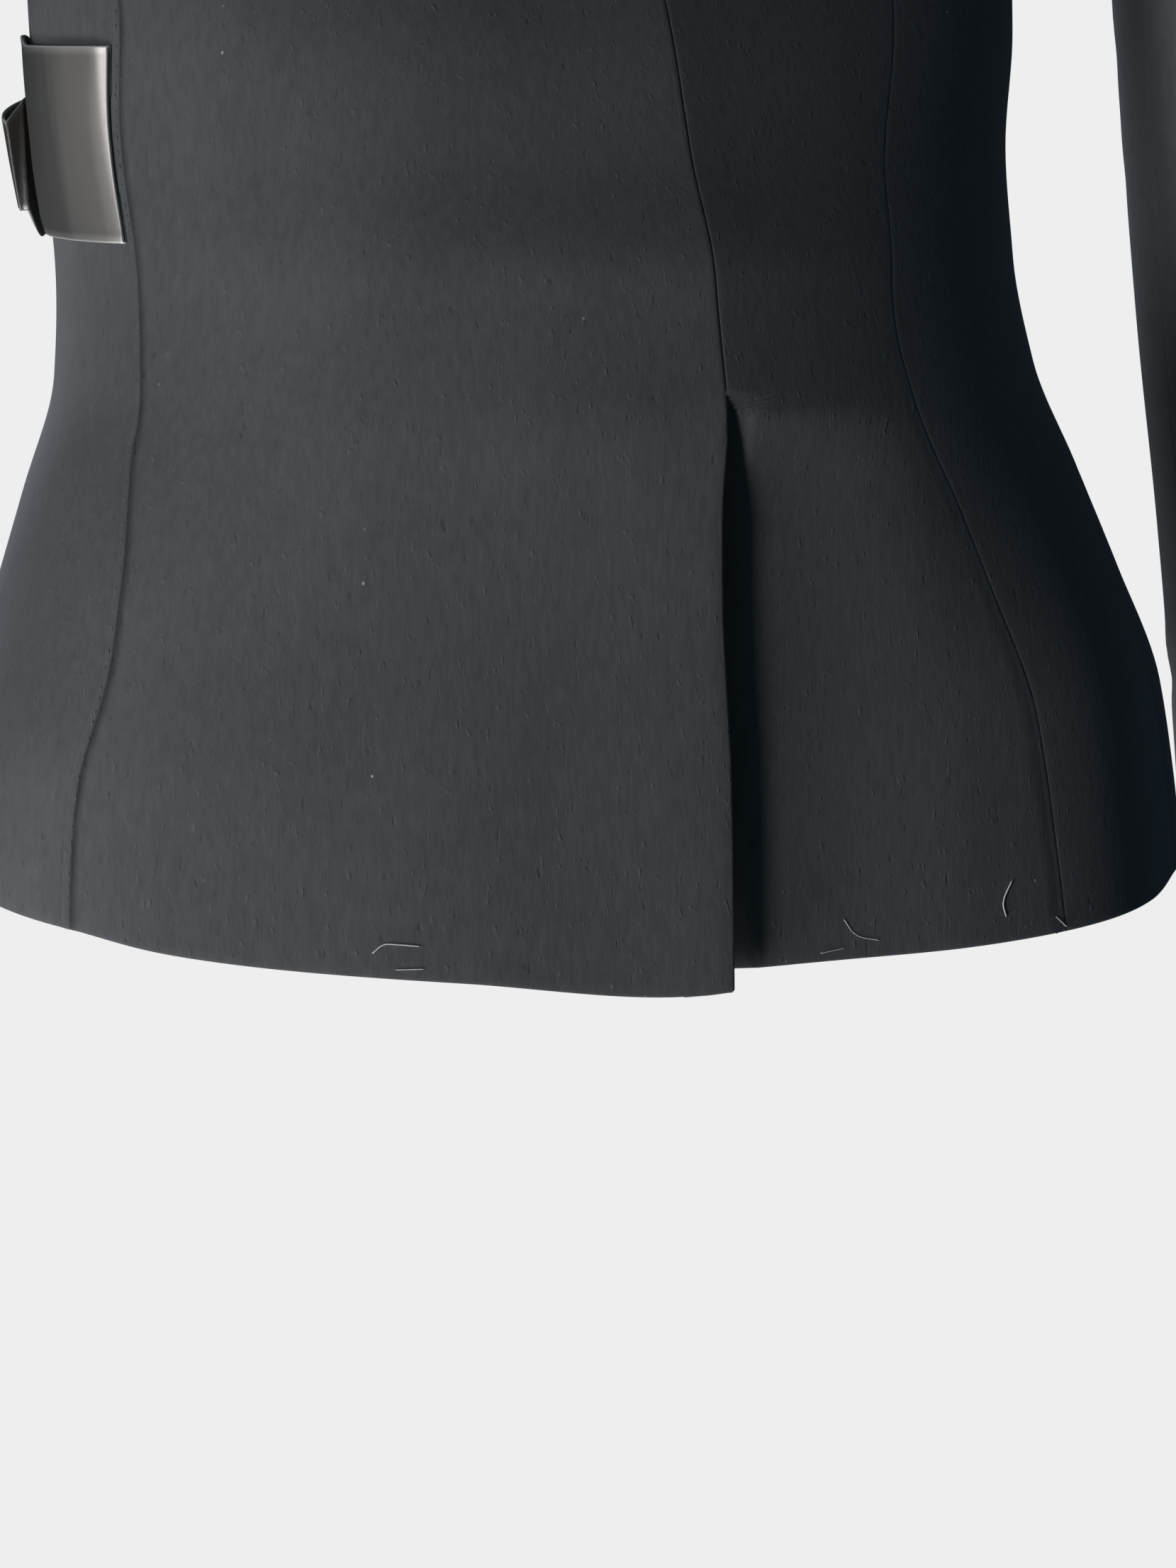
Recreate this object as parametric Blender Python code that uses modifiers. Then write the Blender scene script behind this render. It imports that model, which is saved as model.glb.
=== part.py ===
"""A bow-trimmed jacket: fitted crepe panels that wrap over in front and are tied with a satin bow.

Metres, +Z up. The origin is the middle of the neck opening, level with the nape, where the wearer's
shoulders hold the jacket. The front faces -Y and the wearer's left is +X. Angles round the body are
in degrees: 0 at the centre back, growing towards the wearer's left, 180 at the centre front.
"""

import math
from collections import namedtuple

import bmesh
import bpy
from mathutils import Vector

# Cloth
CREPE_WALL = 0.002
SATIN_WALL = 0.0014
SEAM_GAP = 0.0006
LAP_GAP = 0.0005
FRONT_LAP_GAP = 0.0012

# The body form: one row for each level section, from the neck down
Section = namedtuple("Section", "height half_width centre_y back_depth front_depth")
BODY = (
    Section(0.010, 0.072, 0.000, 0.054, 0.060),
    Section(0.000, 0.088, 0.000, 0.060, 0.064),
    Section(-0.013, 0.121, 0.000, 0.067, 0.068),
    Section(-0.027, 0.158, 0.000, 0.074, 0.072),
    Section(-0.040, 0.184, 0.000, 0.080, 0.077),
    Section(-0.060, 0.190, 0.000, 0.088, 0.085),
    Section(-0.100, 0.184, 0.000, 0.096, 0.099),
    Section(-0.150, 0.173, 0.000, 0.096, 0.115),
    Section(-0.200, 0.163, 0.000, 0.087, 0.127),
    Section(-0.250, 0.154, 0.001, 0.073, 0.128),
    Section(-0.290, 0.148, 0.003, 0.064, 0.119),
    Section(-0.315, 0.145, 0.004, 0.067, 0.114),
    Section(-0.345, 0.144, 0.003, 0.081, 0.109),
    Section(-0.375, 0.141, 0.000, 0.095, 0.103),
    Section(-0.405, 0.139, 0.004, 0.105, 0.107),
    Section(-0.435, 0.142, 0.012, 0.104, 0.117),
    Section(-0.465, 0.154, 0.022, 0.094, 0.130),
    Section(-0.495, 0.166, 0.031, 0.085, 0.142),
    Section(-0.530, 0.178, 0.040, 0.079, 0.154),
    Section(-0.565, 0.181, 0.047, 0.074, 0.163),
    Section(-0.605, 0.183, 0.053, 0.070, 0.171),
)

# Seams: how far round from the centre back each one runs, by height
SeamRow = namedtuple("SeamRow", "height angle")
SIDE_SEAM = (
    SeamRow(-0.215, 82.0),
    SeamRow(-0.270, 76.0),
    SeamRow(-0.335, 69.0),
    SeamRow(-0.371, 71.8),
    SeamRow(-0.410, 72.4),
    SeamRow(-0.446, 71.8),
    SeamRow(-0.463, 69.2),
    SeamRow(-0.482, 66.9),
    SeamRow(-0.512, 65.3),
    SeamRow(-0.545, 67.2),
    SeamRow(-0.568, 68.0),
    SeamRow(-0.600, 68.4),
)
PRINCESS_SEAM = (
    SeamRow(-0.124, 65.6),
    SeamRow(-0.150, 59.8),
    SeamRow(-0.200, 50.5),
    SeamRow(-0.260, 40.5),
    SeamRow(-0.310, 33.8),
    SeamRow(-0.345, 30.5),
    SeamRow(-0.384, 26.2),
    SeamRow(-0.420, 24.5),
    SeamRow(-0.440, 25.8),
    SeamRow(-0.470, 30.0),
    SeamRow(-0.492, 31.7),
    SeamRow(-0.547, 34.4),
    SeamRow(-0.600, 36.6),
)

# The armhole: its two edges meet at the shoulder point and under the arm
ArmholeRow = namedtuple("ArmholeRow", "height back_angle front_angle")
ARMHOLE = (
    ArmholeRow(-0.036, 90.0, 90.0),
    ArmholeRow(-0.044, 80.0, 101.0),
    ArmholeRow(-0.060, 73.0, 109.0),
    ArmholeRow(-0.090, 68.0, 115.0),
    ArmholeRow(-0.120, 66.0, 118.0),
    ArmholeRow(-0.150, 66.5, 118.5),
    ArmholeRow(-0.178, 69.5, 115.0),
    ArmholeRow(-0.198, 73.5, 107.0),
    ArmholeRow(-0.210, 77.5, 96.0),
    ArmholeRow(-0.215, 82.0, 82.0),
)
SHOULDER_ANGLE = 90.0

# The two front edges, from the neck point down the V to the hem, each counted past its own side
EDGE_WRAP = (
    SeamRow(0.004, 92.0),
    SeamRow(-0.020, 104.0),
    SeamRow(-0.060, 122.0),
    SeamRow(-0.120, 143.0),
    SeamRow(-0.180, 161.0),
    SeamRow(-0.240, 180.0),
    SeamRow(-0.300, 198.0),
    SeamRow(-0.345, 208.0),
    SeamRow(-0.400, 211.0),
    SeamRow(-0.480, 208.0),
    SeamRow(-0.545, 204.0),
    SeamRow(-0.566, 200.0),
    SeamRow(-0.575, 194.0),
)
NECK_TOP = 0.004

# Hem heights round each side, from the centre back
HemRow = namedtuple("HemRow", "angle height")
HEM_LEFT = (
    HemRow(-1.0, -0.5905),
    HemRow(3.0, -0.5910),
    HemRow(24.0, -0.5830),
    HemRow(54.0, -0.5730),
    HemRow(68.0, -0.5675),
    HemRow(90.0, -0.5640),
    HemRow(150.0, -0.5660),
    HemRow(215.0, -0.5740),
)
HEM_RIGHT = (
    HemRow(-16.0, -0.5830),
    HemRow(0.0, -0.5865),
    HemRow(27.0, -0.5880),
    HemRow(53.0, -0.5860),
    HemRow(66.0, -0.5830),
    HemRow(90.0, -0.5790),
    HemRow(150.0, -0.5740),
    HemRow(215.0, -0.5680),
)
HEM_LEVEL = -0.580
HEM_FADE = 0.120

# The centre back vent: the left panel laps over, the right one goes on beneath it
VENT_TOP = -0.440
VENT_OPEN = 0.050
VENT_STEP = 0.006
UNDERLAP_ANGLE = 14.0
UNDERLAP_RAMP = 8.0
VENT_SINK = 0.0065
VENT_SINK_ANGLE = 15.0
VENT_LIFT = 0.0010
VENT_LIFT_ANGLE = 16.0
VENT_EDGE = (
    SeamRow(-0.440, 0.00),
    SeamRow(-0.466, 0.55),
    SeamRow(-0.500, 0.30),
    SeamRow(-0.530, 0.05),
    SeamRow(-0.600, 0.20),
)

# Under front: it lies inside the over front past this angle
UNDER_START = 130.0
UNDER_END = 146.0

# Rows and columns of each panel's mesh
SKIRT_ROWS = 7
WAIST_ROWS = 11
NECK_ROWS = 3
BACK_LEFT_COLUMNS = 14
BACK_RIGHT_COLUMNS = 8
BACK_SIDE_COLUMNS = 6
FRONT_COLUMNS = 16

# Sleeve: ring centres down the arm, and the half sizes of each ring
ArmRing = namedtuple("ArmRing", "out forward height across along")
ARM = (
    ArmRing(0.2420, 0.000, -0.250, 0.0520, 0.0620),
    ArmRing(0.2465, 0.002, -0.310, 0.0490, 0.0570),
    ArmRing(0.2505, 0.003, -0.370, 0.0460, 0.0520),
    ArmRing(0.2570, 0.008, -0.430, 0.0430, 0.0480),
    ArmRing(0.2675, 0.016, -0.490, 0.0405, 0.0440),
    ArmRing(0.2775, 0.025, -0.550, 0.0380, 0.0410),
    ArmRing(0.2860, 0.033, -0.600, 0.0360, 0.0390),
)
ARM_LEAN = math.radians(7.0)
SLEEVE_SIDES = 24
CAP_ROWS = 7
CAP_OUTWARD = 0.85
CAP_SLOPE = 0.35
ARMHOLE_GAP = 0.0004

# Satin tie and bow, at the wearer's left front waist
TIE_HEIGHT = -0.371
TIE_WIDTH = 0.0525
TIE_BULGE = 0.0012
TIE_LIFT = 0.0010
TIE_PINCH = 0.46
TIE_GATHER_ANGLE = 24.0
TIE_GATHER_RUN = 22.0
TIE_FREE_RUN = 12.0
TIE_FRONT_PINCH = 0.70
TIE_FRONT_LIFT = 0.0030
KNOT_ANGLE = 140.0
KNOT_OUT = 0.0115
KNOT_SIZE = Vector((0.026, 0.019, 0.034))
KNOT_ROUND = 0.006
KNOT_ROUND_STEPS = 4
BOW_GAP = 0.0005
LOOP_REACH = 0.072
LOOP_WIDTH = 0.028
LOOP_DEPTH = 0.0120
LOOP_LOWER_SHARE = 0.55
LOOP_ROOT = 0.075
LOOP_PINCH = 0.75
LOOP_FLARE = 1.4
LOOP_DROOP = 0.007
TAIL_LENGTH = 0.150
TAIL_WIDTH = 0.044
TAIL_PINCH = 0.30
TAIL_FLARE = 2.2
TAIL_SLANT = 0.020
TAIL_LEAN = 0.020
TAIL_RIPPLE = 0.0010

# Rows and columns of the satin pieces
SATIN_ROWS = 6
TIE_COLUMNS = 18
TIE_FRONT_COLUMNS = 4
LOOP_COLUMNS = 20
TAIL_LENGTHWISE = 12

# The bow's pieces: which way each goes from the knot and how far off the cloth it lies
BowPiece = namedtuple("BowPiece", "name way off")
LOOPS = (
    BowPiece("bow_loop_back", 1.0, 0.0112),
    BowPiece("bow_loop_front", -1.0, 0.0112),
)
TAILS = (
    BowPiece("bow_tail_under", 1.0, 0.0038),
    BowPiece("bow_tail_over", -1.0, 0.0082),
)

CREPE_COLOUR = (0.042, 0.043, 0.047, 1.0)
SATIN_COLOUR = (0.090, 0.092, 0.096, 1.0)


def clamp(value, low=0.0, high=1.0):
    return max(low, min(high, value))


def blend(low, high, share):
    return low + (high - low) * share


def ease(share):
    """A soft step from 0 to 1."""
    share = clamp(share)
    return share * share * (3.0 - 2.0 * share)


def smooth_curve(xs, ys, x):
    """A smooth curve through the points that never overshoots them. xs grow."""
    x = clamp(x, xs[0], xs[-1])
    k = 0
    while k < len(xs) - 2 and x > xs[k + 1]:
        k += 1
    rises = [(ys[i + 1] - ys[i]) / (xs[i + 1] - xs[i]) for i in range(len(xs) - 1)]

    def slope(i):
        if i == 0:
            return rises[0]
        if i == len(xs) - 1:
            return rises[-1]
        before, after = rises[i - 1], rises[i]
        if before * after <= 0.0:
            return 0.0
        return 2.0 * before * after / (before + after)

    width = xs[k + 1] - xs[k]
    s = (x - xs[k]) / width
    return (
        ys[k] * (1 + 2 * s) * (1 - s) ** 2
        + slope(k) * width * s * (1 - s) ** 2
        + ys[k + 1] * s * s * (3 - 2 * s)
        + slope(k + 1) * width * s * s * (s - 1)
    )


def read_column(table, key, value, column):
    """One column of a table at a value of its key column, whichever way the key runs."""
    rows = sorted(table, key=lambda row: getattr(row, key))
    xs = [getattr(row, key) for row in rows]
    ys = [getattr(row, column) for row in rows]
    return smooth_curve(xs, ys, value)


def body_point(angle, height):
    """The outer face of the cloth round the body."""
    half_width, centre_y, back_depth, front_depth = (
        read_column(BODY, "height", height, column) for column in Section._fields[1:]
    )
    turn = math.radians(angle)
    depth = back_depth if math.cos(turn) > 0.0 else front_depth
    return Vector((half_width * math.sin(turn), centre_y + depth * math.cos(turn), height))


def body_normal(angle, height):
    step_angle, step_height = 0.5, 0.002
    round_way = body_point(angle + step_angle, height) - body_point(angle - step_angle, height)
    up_way = body_point(angle, height + step_height) - body_point(angle, height - step_height)
    return up_way.cross(round_way).normalized()


def off_body(angle, height, out):
    return body_point(angle, height) + body_normal(angle, height) * out


def angle_of(length, angle, height):
    """How many degrees round the body a short length takes up."""
    step = 0.5
    return length * step / (body_point(angle + step, height) - body_point(angle, height)).length


def seam_angle(table, height):
    return read_column(table, "height", height, "angle")


def hem_height(table, angle):
    return read_column(table, "angle", angle, "height")


def side_edge(height, column):
    """The outer edge of a back or front panel: side seam, then armhole, then shoulder seam."""
    if height < ARMHOLE[-1].height:
        return seam_angle(SIDE_SEAM, height)
    if height < ARMHOLE[0].height:
        return read_column(ARMHOLE, "height", height, column)
    return SHOULDER_ANGLE


def armhole_height(share):
    """Round the armhole: 0 at the shoulder, a quarter at the front, a half under the arm."""
    top, bottom = ARMHOLE[0].height, ARMHOLE[-1].height
    return blend(bottom, top, (1.0 + math.cos(share * math.tau)) / 2)


def make_material(name, colour, roughness):
    material = bpy.data.materials.new(name)
    material.use_nodes = True
    shader = material.node_tree.nodes["Principled BSDF"]
    shader.inputs["Base Color"].default_value = colour
    shader.inputs["Roughness"].default_value = roughness
    shader.inputs["Metallic"].default_value = 0.0
    return material


def make_sheet(name, columns, rows, place, wall, material, collection, closed=False):
    """A cloth piece: a grid whose corners place(u, v) sets on its outer face, given its wall inward."""
    mesh = bpy.data.meshes.new(name)
    grid = bmesh.new()
    bmesh.ops.create_grid(grid, x_segments=columns, y_segments=rows, size=0.5)
    for vert in grid.verts:
        u = round((vert.co.x + 0.5) * columns) / columns
        v = round((vert.co.y + 0.5) * rows) / rows
        vert.co = place(u, v)
    if closed:
        bmesh.ops.remove_doubles(grid, verts=grid.verts, dist=0.00001)
    grid.to_mesh(mesh)
    grid.free()
    mesh.shade_smooth()
    mesh.materials.append(material)
    piece = bpy.data.objects.new(name, mesh)
    collection.objects.link(piece)
    wall_modifier = piece.modifiers.new("Wall", "SOLIDIFY")
    wall_modifier.thickness = wall
    wall_modifier.offset = -1.0
    wall_modifier.use_even_offset = True
    return piece


def row_heights():
    """Rows shared by every panel. Beside the armhole they are the sleeve's own."""
    vent_foot = VENT_TOP + VENT_STEP
    skirt = [blend(HEM_LEVEL, VENT_TOP, k / SKIRT_ROWS) for k in range(SKIRT_ROWS + 1)]
    waist = [blend(vent_foot, ARMHOLE[-1].height, k / WAIST_ROWS) for k in range(WAIST_ROWS)]
    arm = [armhole_height(k / SLEEVE_SIDES) for k in range(SLEEVE_SIDES // 2 + 1)]
    neck = [blend(ARMHOLE[0].height, NECK_TOP, k / NECK_ROWS) for k in range(1, NECK_ROWS + 1)]
    return sorted(skirt + waist + arm + neck)


def make_panel(name, columns, edges, hem, inset, material, collection, side=1.0, top=NECK_TOP):
    """A body panel. edges(height) gives its two bounding angles, inset(angle, height) its lift."""
    heights = [height for height in row_heights() if height < top + SEAM_GAP]
    rows = len(heights) - 1

    def place(u, v):
        height = heights[round(v * rows)]
        first, second = edges(height)
        half_gap = SEAM_GAP / 2
        first += angle_of(half_gap, first, height)
        second -= angle_of(half_gap, second, height)
        share = 1.0 - u if side > 0.0 else u
        angle = blend(first, second, share)
        drop = (hem_height(hem, angle) - HEM_LEVEL) * ease(1.0 - (height - HEM_LEVEL) / HEM_FADE)
        point = off_body(angle, height + drop, inset(angle, height))
        return Vector((side * point.x, point.y, point.z))

    return make_sheet(name, columns, rows, place, CREPE_WALL, material, collection)


def vent_opening(height):
    """0 above the vent, growing to 1 a little way below its top."""
    return ease((VENT_TOP - height) / VENT_OPEN)


def make_back_left(material, collection):
    def edges(height):
        return seam_angle(VENT_EDGE, height), side_edge(height, "back_angle")

    def lift(angle, height):
        return VENT_LIFT * vent_opening(height) * ease(1.0 - angle / VENT_LIFT_ANGLE)

    make_panel("back_left", BACK_LEFT_COLUMNS, edges, HEM_LEFT, lift, material, collection)


def make_back_right(material, collection):
    """Centre back to the princess seam, with the underlap of the vent."""

    def edges(height):
        seam = seam_angle(PRINCESS_SEAM, height) if height < PRINCESS_SEAM[0].height else 360.0
        underlap = -UNDERLAP_ANGLE if height < VENT_TOP else 0.0
        return underlap, min(seam, side_edge(height, "back_angle"))

    def sink(angle, height):
        near_centre = ease(1.0 - angle / VENT_SINK_ANGLE)
        under = (CREPE_WALL + LAP_GAP) * ease((VENT_TOP + VENT_STEP - height) / VENT_STEP)
        beneath = under * ease(1.0 - (angle - 1.0) / UNDERLAP_RAMP)
        return -VENT_SINK * vent_opening(height) * near_centre - beneath

    make_panel("back_right", BACK_RIGHT_COLUMNS, edges, HEM_RIGHT, sink, material, collection, side=-1.0)


def make_back_right_side(material, collection):
    """Princess seam to side seam, ending in a point at the armhole."""
    top = PRINCESS_SEAM[0].height

    def edges(height):
        return seam_angle(PRINCESS_SEAM, height), side_edge(height, "back_angle")

    make_panel(
        "back_right_side",
        BACK_SIDE_COLUMNS,
        edges,
        HEM_RIGHT,
        lambda angle, height: 0.0,
        material,
        collection,
        side=-1.0,
        top=top,
    )


def front_edges(height):
    return side_edge(height, "front_angle"), seam_angle(EDGE_WRAP, height)


def make_front_left(material, collection):
    """The under front: past the side it dips inside the over front."""

    def dip(angle, height):
        return -(CREPE_WALL + FRONT_LAP_GAP) * ease((angle - UNDER_START) / (UNDER_END - UNDER_START))

    make_panel("front_left", FRONT_COLUMNS, front_edges, HEM_LEFT, dip, material, collection)


def make_front_right(material, collection):
    """The over front, from the wearer's right side across to the left."""
    make_panel(
        "front_right",
        FRONT_COLUMNS,
        front_edges,
        HEM_RIGHT,
        lambda angle, height: 0.0,
        material,
        collection,
        side=-1.0,
    )


def armhole_point(share):
    height = armhole_height(share)
    column = "front_angle" if share < 0.5 else "back_angle"
    angle = read_column(ARMHOLE, "height", height, column)
    return body_point(angle, height)


def arm_ring_point(ring, share):
    """A point of an oval ring square to the arm, on the same shares as the armhole."""
    turn = share * math.tau
    lean = Vector((math.cos(ARM_LEAN), 0.0, math.sin(ARM_LEAN)))
    centre = Vector((ring.out, -ring.forward, ring.height))
    return centre + lean * ring.across * math.cos(turn) - Vector((0, 1, 0)) * ring.along * math.sin(turn)


def hermite(start, start_way, end, end_way, s):
    return (
        start * ((1 + 2 * s) * (1 - s) ** 2)
        + start_way * (s * (1 - s) ** 2)
        + end * (s * s * (3 - 2 * s))
        + end_way * (s * s * (s - 1))
    )


def sleeve_point(share, v):
    """v is 0 at the armhole and 1 at the cuff."""
    cap_share = CAP_ROWS / (CAP_ROWS + 2 * (len(ARM) - 1))
    arm_way = Vector((-math.sin(ARM_LEAN), 0.0, math.cos(ARM_LEAN)))
    if v >= cap_share:
        at = (v - cap_share) / (1.0 - cap_share) * (len(ARM) - 1)
        heights = list(range(len(ARM)))
        ring = ArmRing(*(
            smooth_curve(heights, [getattr(row, column) for row in ARM], at)
            for column in ArmRing._fields
        ))
        return arm_ring_point(ring, share)
    start = armhole_point(share) + Vector((ARMHOLE_GAP, 0.0, 0.0))
    end = arm_ring_point(ARM[0], share)
    span = (end - start).length
    fall = CAP_SLOPE * max(0.0, math.cos(share * math.tau))
    out_way = Vector((1.0, 0.0, -fall)) * span * CAP_OUTWARD
    return hermite(start, out_way, end, -arm_way * span, v / cap_share)


def make_sleeve(name, side, material, collection):
    rows = CAP_ROWS + 2 * (len(ARM) - 1)

    def place(u, v):
        share = u if side > 0.0 else 1.0 - u
        point = sleeve_point(share % 1.0, v)
        return Vector((side * point.x, point.y, point.z))

    make_sheet(name, SLEEVE_SIDES, rows, place, CREPE_WALL, material, collection, closed=True)


def knot_frame():
    """Where the knot sits on the cloth, its way back round the body and its way outward."""
    up_way = Vector((0.0, 0.0, 1.0))
    out_way = body_normal(KNOT_ANGLE, TIE_HEIGHT)
    back_way = up_way.cross(out_way).normalized()
    out_way = back_way.cross(up_way).normalized()
    return body_point(KNOT_ANGLE, TIE_HEIGHT), back_way, out_way


def angle_beside_knot(along, height):
    """The angle round the body at a straight distance from the knot, positive towards the back."""
    seat, back_way, _ = knot_frame()
    angle = KNOT_ANGLE
    for _ in range(8):
        missing = along - (body_point(angle, height) - seat).dot(back_way)
        angle -= angle_of(1.0, angle, height) * missing
    return angle


def by_knot(along, up, off):
    """A point beside the knot: along and up from its middle, and off the cloth there."""
    seat, back_way, out_way = knot_frame()
    height = TIE_HEIGHT + up
    cloth = body_point(angle_beside_knot(along, height), height)
    return cloth + out_way * off


def make_tie_side(material, collection):
    """The tie from the left side seam, round to the knot."""
    knot_side = KNOT_SIZE.x / 2 + BOW_GAP

    def place(u, v):
        rise = 2 * v - 1
        end = angle_beside_knot(knot_side, TIE_HEIGHT)
        level_angle = blend(end, seam_angle(SIDE_SEAM, TIE_HEIGHT), u)
        gather = ease((level_angle - end + TIE_GATHER_ANGLE) / TIE_GATHER_RUN)
        height = TIE_HEIGHT + rise * TIE_WIDTH / 2 * blend(1.0, TIE_PINCH, gather)
        seam = seam_angle(SIDE_SEAM, height)
        start = seam + angle_of(SEAM_GAP, seam, height)
        angle = blend(end, start, u)
        crown = TIE_BULGE * (1.0 - rise * rise)
        lift = (crown + TIE_LIFT) * ease((angle - start) / TIE_FREE_RUN)
        return off_body(angle, height, LAP_GAP + SATIN_WALL + lift)

    make_sheet("tie_side", TIE_COLUMNS, SATIN_ROWS, place, SATIN_WALL, material, collection)


def make_tie_front(material, collection):
    """The short stretch of tie between the edge of the over front and the knot."""
    knot_side = KNOT_SIZE.x / 2 + BOW_GAP

    def place(u, v):
        rise = 2 * v - 1
        up = rise * TIE_WIDTH / 2 * blend(TIE_PINCH, TIE_FRONT_PINCH, u)
        edge = 360.0 - seam_angle(EDGE_WRAP, TIE_HEIGHT + up)
        edge -= angle_of(SEAM_GAP / 2, edge, TIE_HEIGHT + up)
        near = angle_beside_knot(-knot_side, TIE_HEIGHT + up)
        angle = blend(edge, near, u)
        return off_body(angle, TIE_HEIGHT + up, TIE_FRONT_LIFT * ease(u))

    make_sheet("tie_front", TIE_FRONT_COLUMNS, SATIN_ROWS, place, SATIN_WALL, material, collection)


def make_knot(material, collection):
    """The knot: a rounded block of wrapped satin, flat on its sides where the loops come out."""
    seat, back_way, out_way = knot_frame()
    mesh = bpy.data.meshes.new("bow_knot")
    block = bmesh.new()
    bmesh.ops.create_cube(block, size=1.0)
    for vert in block.verts:
        along, off, up = (c * size for c, size in zip(vert.co, KNOT_SIZE))
        vert.co = seat - back_way * along + out_way * (KNOT_OUT + off) + Vector((0.0, 0.0, up))
    block.to_mesh(mesh)
    block.free()
    mesh.materials.append(material)
    knot = bpy.data.objects.new("bow_knot", mesh)
    collection.objects.link(knot)
    rounding = knot.modifiers.new("Rounding", "BEVEL")
    rounding.width = KNOT_ROUND
    rounding.segments = KNOT_ROUND_STEPS
    mesh.shade_smooth()


def make_loop(piece, material, collection):
    """A loop of the bow: satin that goes out from the knot, folds over and comes back."""
    knot_side = KNOT_SIZE.x / 2 + BOW_GAP
    first_reach = (1.0 - math.cos(math.tau * LOOP_ROOT)) / 2

    def place(u, v):
        turn = math.tau * blend(LOOP_ROOT, 1.0 - LOOP_ROOT, u if piece.way < 0 else 1.0 - u)
        reach = ((1.0 - math.cos(turn)) / 2 - first_reach) / (1.0 - first_reach)
        along = blend(knot_side, LOOP_REACH, reach)
        depth = LOOP_DEPTH / 2 * blend(LOOP_LOWER_SHARE, 1.0, ease(v * 1.3))
        off = piece.off - depth * math.sin(turn)
        spread = blend(LOOP_PINCH, 1.0, ease(reach * LOOP_FLARE))
        up = (2 * v - 1) * LOOP_WIDTH / 2 * spread - LOOP_DROOP * reach * reach
        return by_knot(piece.way * along, up, off)

    make_sheet(piece.name, LOOP_COLUMNS, SATIN_ROWS, place, SATIN_WALL, material, collection)


def make_tail(piece, material, collection):
    """A free end of the tie, hanging from the knot and cut on a slant."""
    top = -KNOT_SIZE.z / 2 - BOW_GAP

    def place(u, v):
        across = (2 * u - 1) * piece.way
        spread = blend(TAIL_PINCH, 1.0, ease(v * TAIL_FLARE))
        length = TAIL_LENGTH + TAIL_SLANT * across
        up = top - length * v
        along = piece.way * TAIL_LEAN * ease(v) - (2 * u - 1) * TAIL_WIDTH / 2 * spread
        ripple = TAIL_RIPPLE * math.cos(math.tau * u)
        return by_knot(along, up, piece.off + ripple)

    make_sheet(piece.name, SATIN_ROWS, TAIL_LENGTHWISE, place, SATIN_WALL, material, collection)


def make_objects():
    for leftover in list(bpy.data.objects):
        bpy.data.objects.remove(leftover, do_unlink=True)
    collection = bpy.data.collections.new("Bow-trimmed jacket")
    bpy.context.scene.collection.children.link(collection)
    crepe = make_material("Crepe", CREPE_COLOUR, 0.9)
    satin = make_material("Satin", SATIN_COLOUR, 0.35)
    make_back_left(crepe, collection)
    make_back_right(crepe, collection)
    make_back_right_side(crepe, collection)
    make_front_left(crepe, collection)
    make_front_right(crepe, collection)
    make_sleeve("sleeve_left", 1.0, crepe, collection)
    make_sleeve("sleeve_right", -1.0, crepe, collection)
    make_tie_side(satin, collection)
    make_tie_front(satin, collection)
    make_knot(satin, collection)
    for piece in LOOPS:
        make_loop(piece, satin, collection)
    for piece in TAILS:
        make_tail(piece, satin, collection)


make_objects()
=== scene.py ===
"""Bow-trimmed jacket: a fitted crepe jacket filled out as on a wearer, tied with a satin bow at the left
front waist.

Laid out as a Blender 4.5 add-on and run as a script. Metres, +Z up. The origin is the middle of the
neck opening, level with the nape. The front faces -Y and the wearer's left is +X. Angles round the
body are in degrees: 0 at the centre back, growing towards the wearer's left, 180 at the centre front.
"""

import math
from collections import namedtuple

import bmesh
import bpy
from bpy.props import FloatProperty, FloatVectorProperty, PointerProperty
from mathutils import Matrix, Vector, noise


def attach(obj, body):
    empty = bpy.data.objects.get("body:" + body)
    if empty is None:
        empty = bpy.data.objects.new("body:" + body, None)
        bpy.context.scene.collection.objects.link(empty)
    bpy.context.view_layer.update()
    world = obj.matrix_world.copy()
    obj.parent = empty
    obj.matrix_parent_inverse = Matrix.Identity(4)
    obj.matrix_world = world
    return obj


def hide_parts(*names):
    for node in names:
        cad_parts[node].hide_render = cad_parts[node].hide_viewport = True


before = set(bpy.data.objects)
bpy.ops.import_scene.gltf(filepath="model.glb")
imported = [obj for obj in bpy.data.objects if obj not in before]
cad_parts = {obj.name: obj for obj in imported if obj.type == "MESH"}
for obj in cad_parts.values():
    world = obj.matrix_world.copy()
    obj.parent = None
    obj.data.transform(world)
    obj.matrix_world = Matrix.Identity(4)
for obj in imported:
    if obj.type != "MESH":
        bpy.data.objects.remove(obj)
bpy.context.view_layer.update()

bl_info = {
    "name": "Bow-trimmed jacket",
    "version": (1, 0, 0),
    "blender": (4, 5, 0),
    "location": "3D View > Sidebar > Jacket",
    "description": "Builds the cloth, the satin bow and the studio of a bow-trimmed jacket",
    "category": "Object",
}

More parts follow.
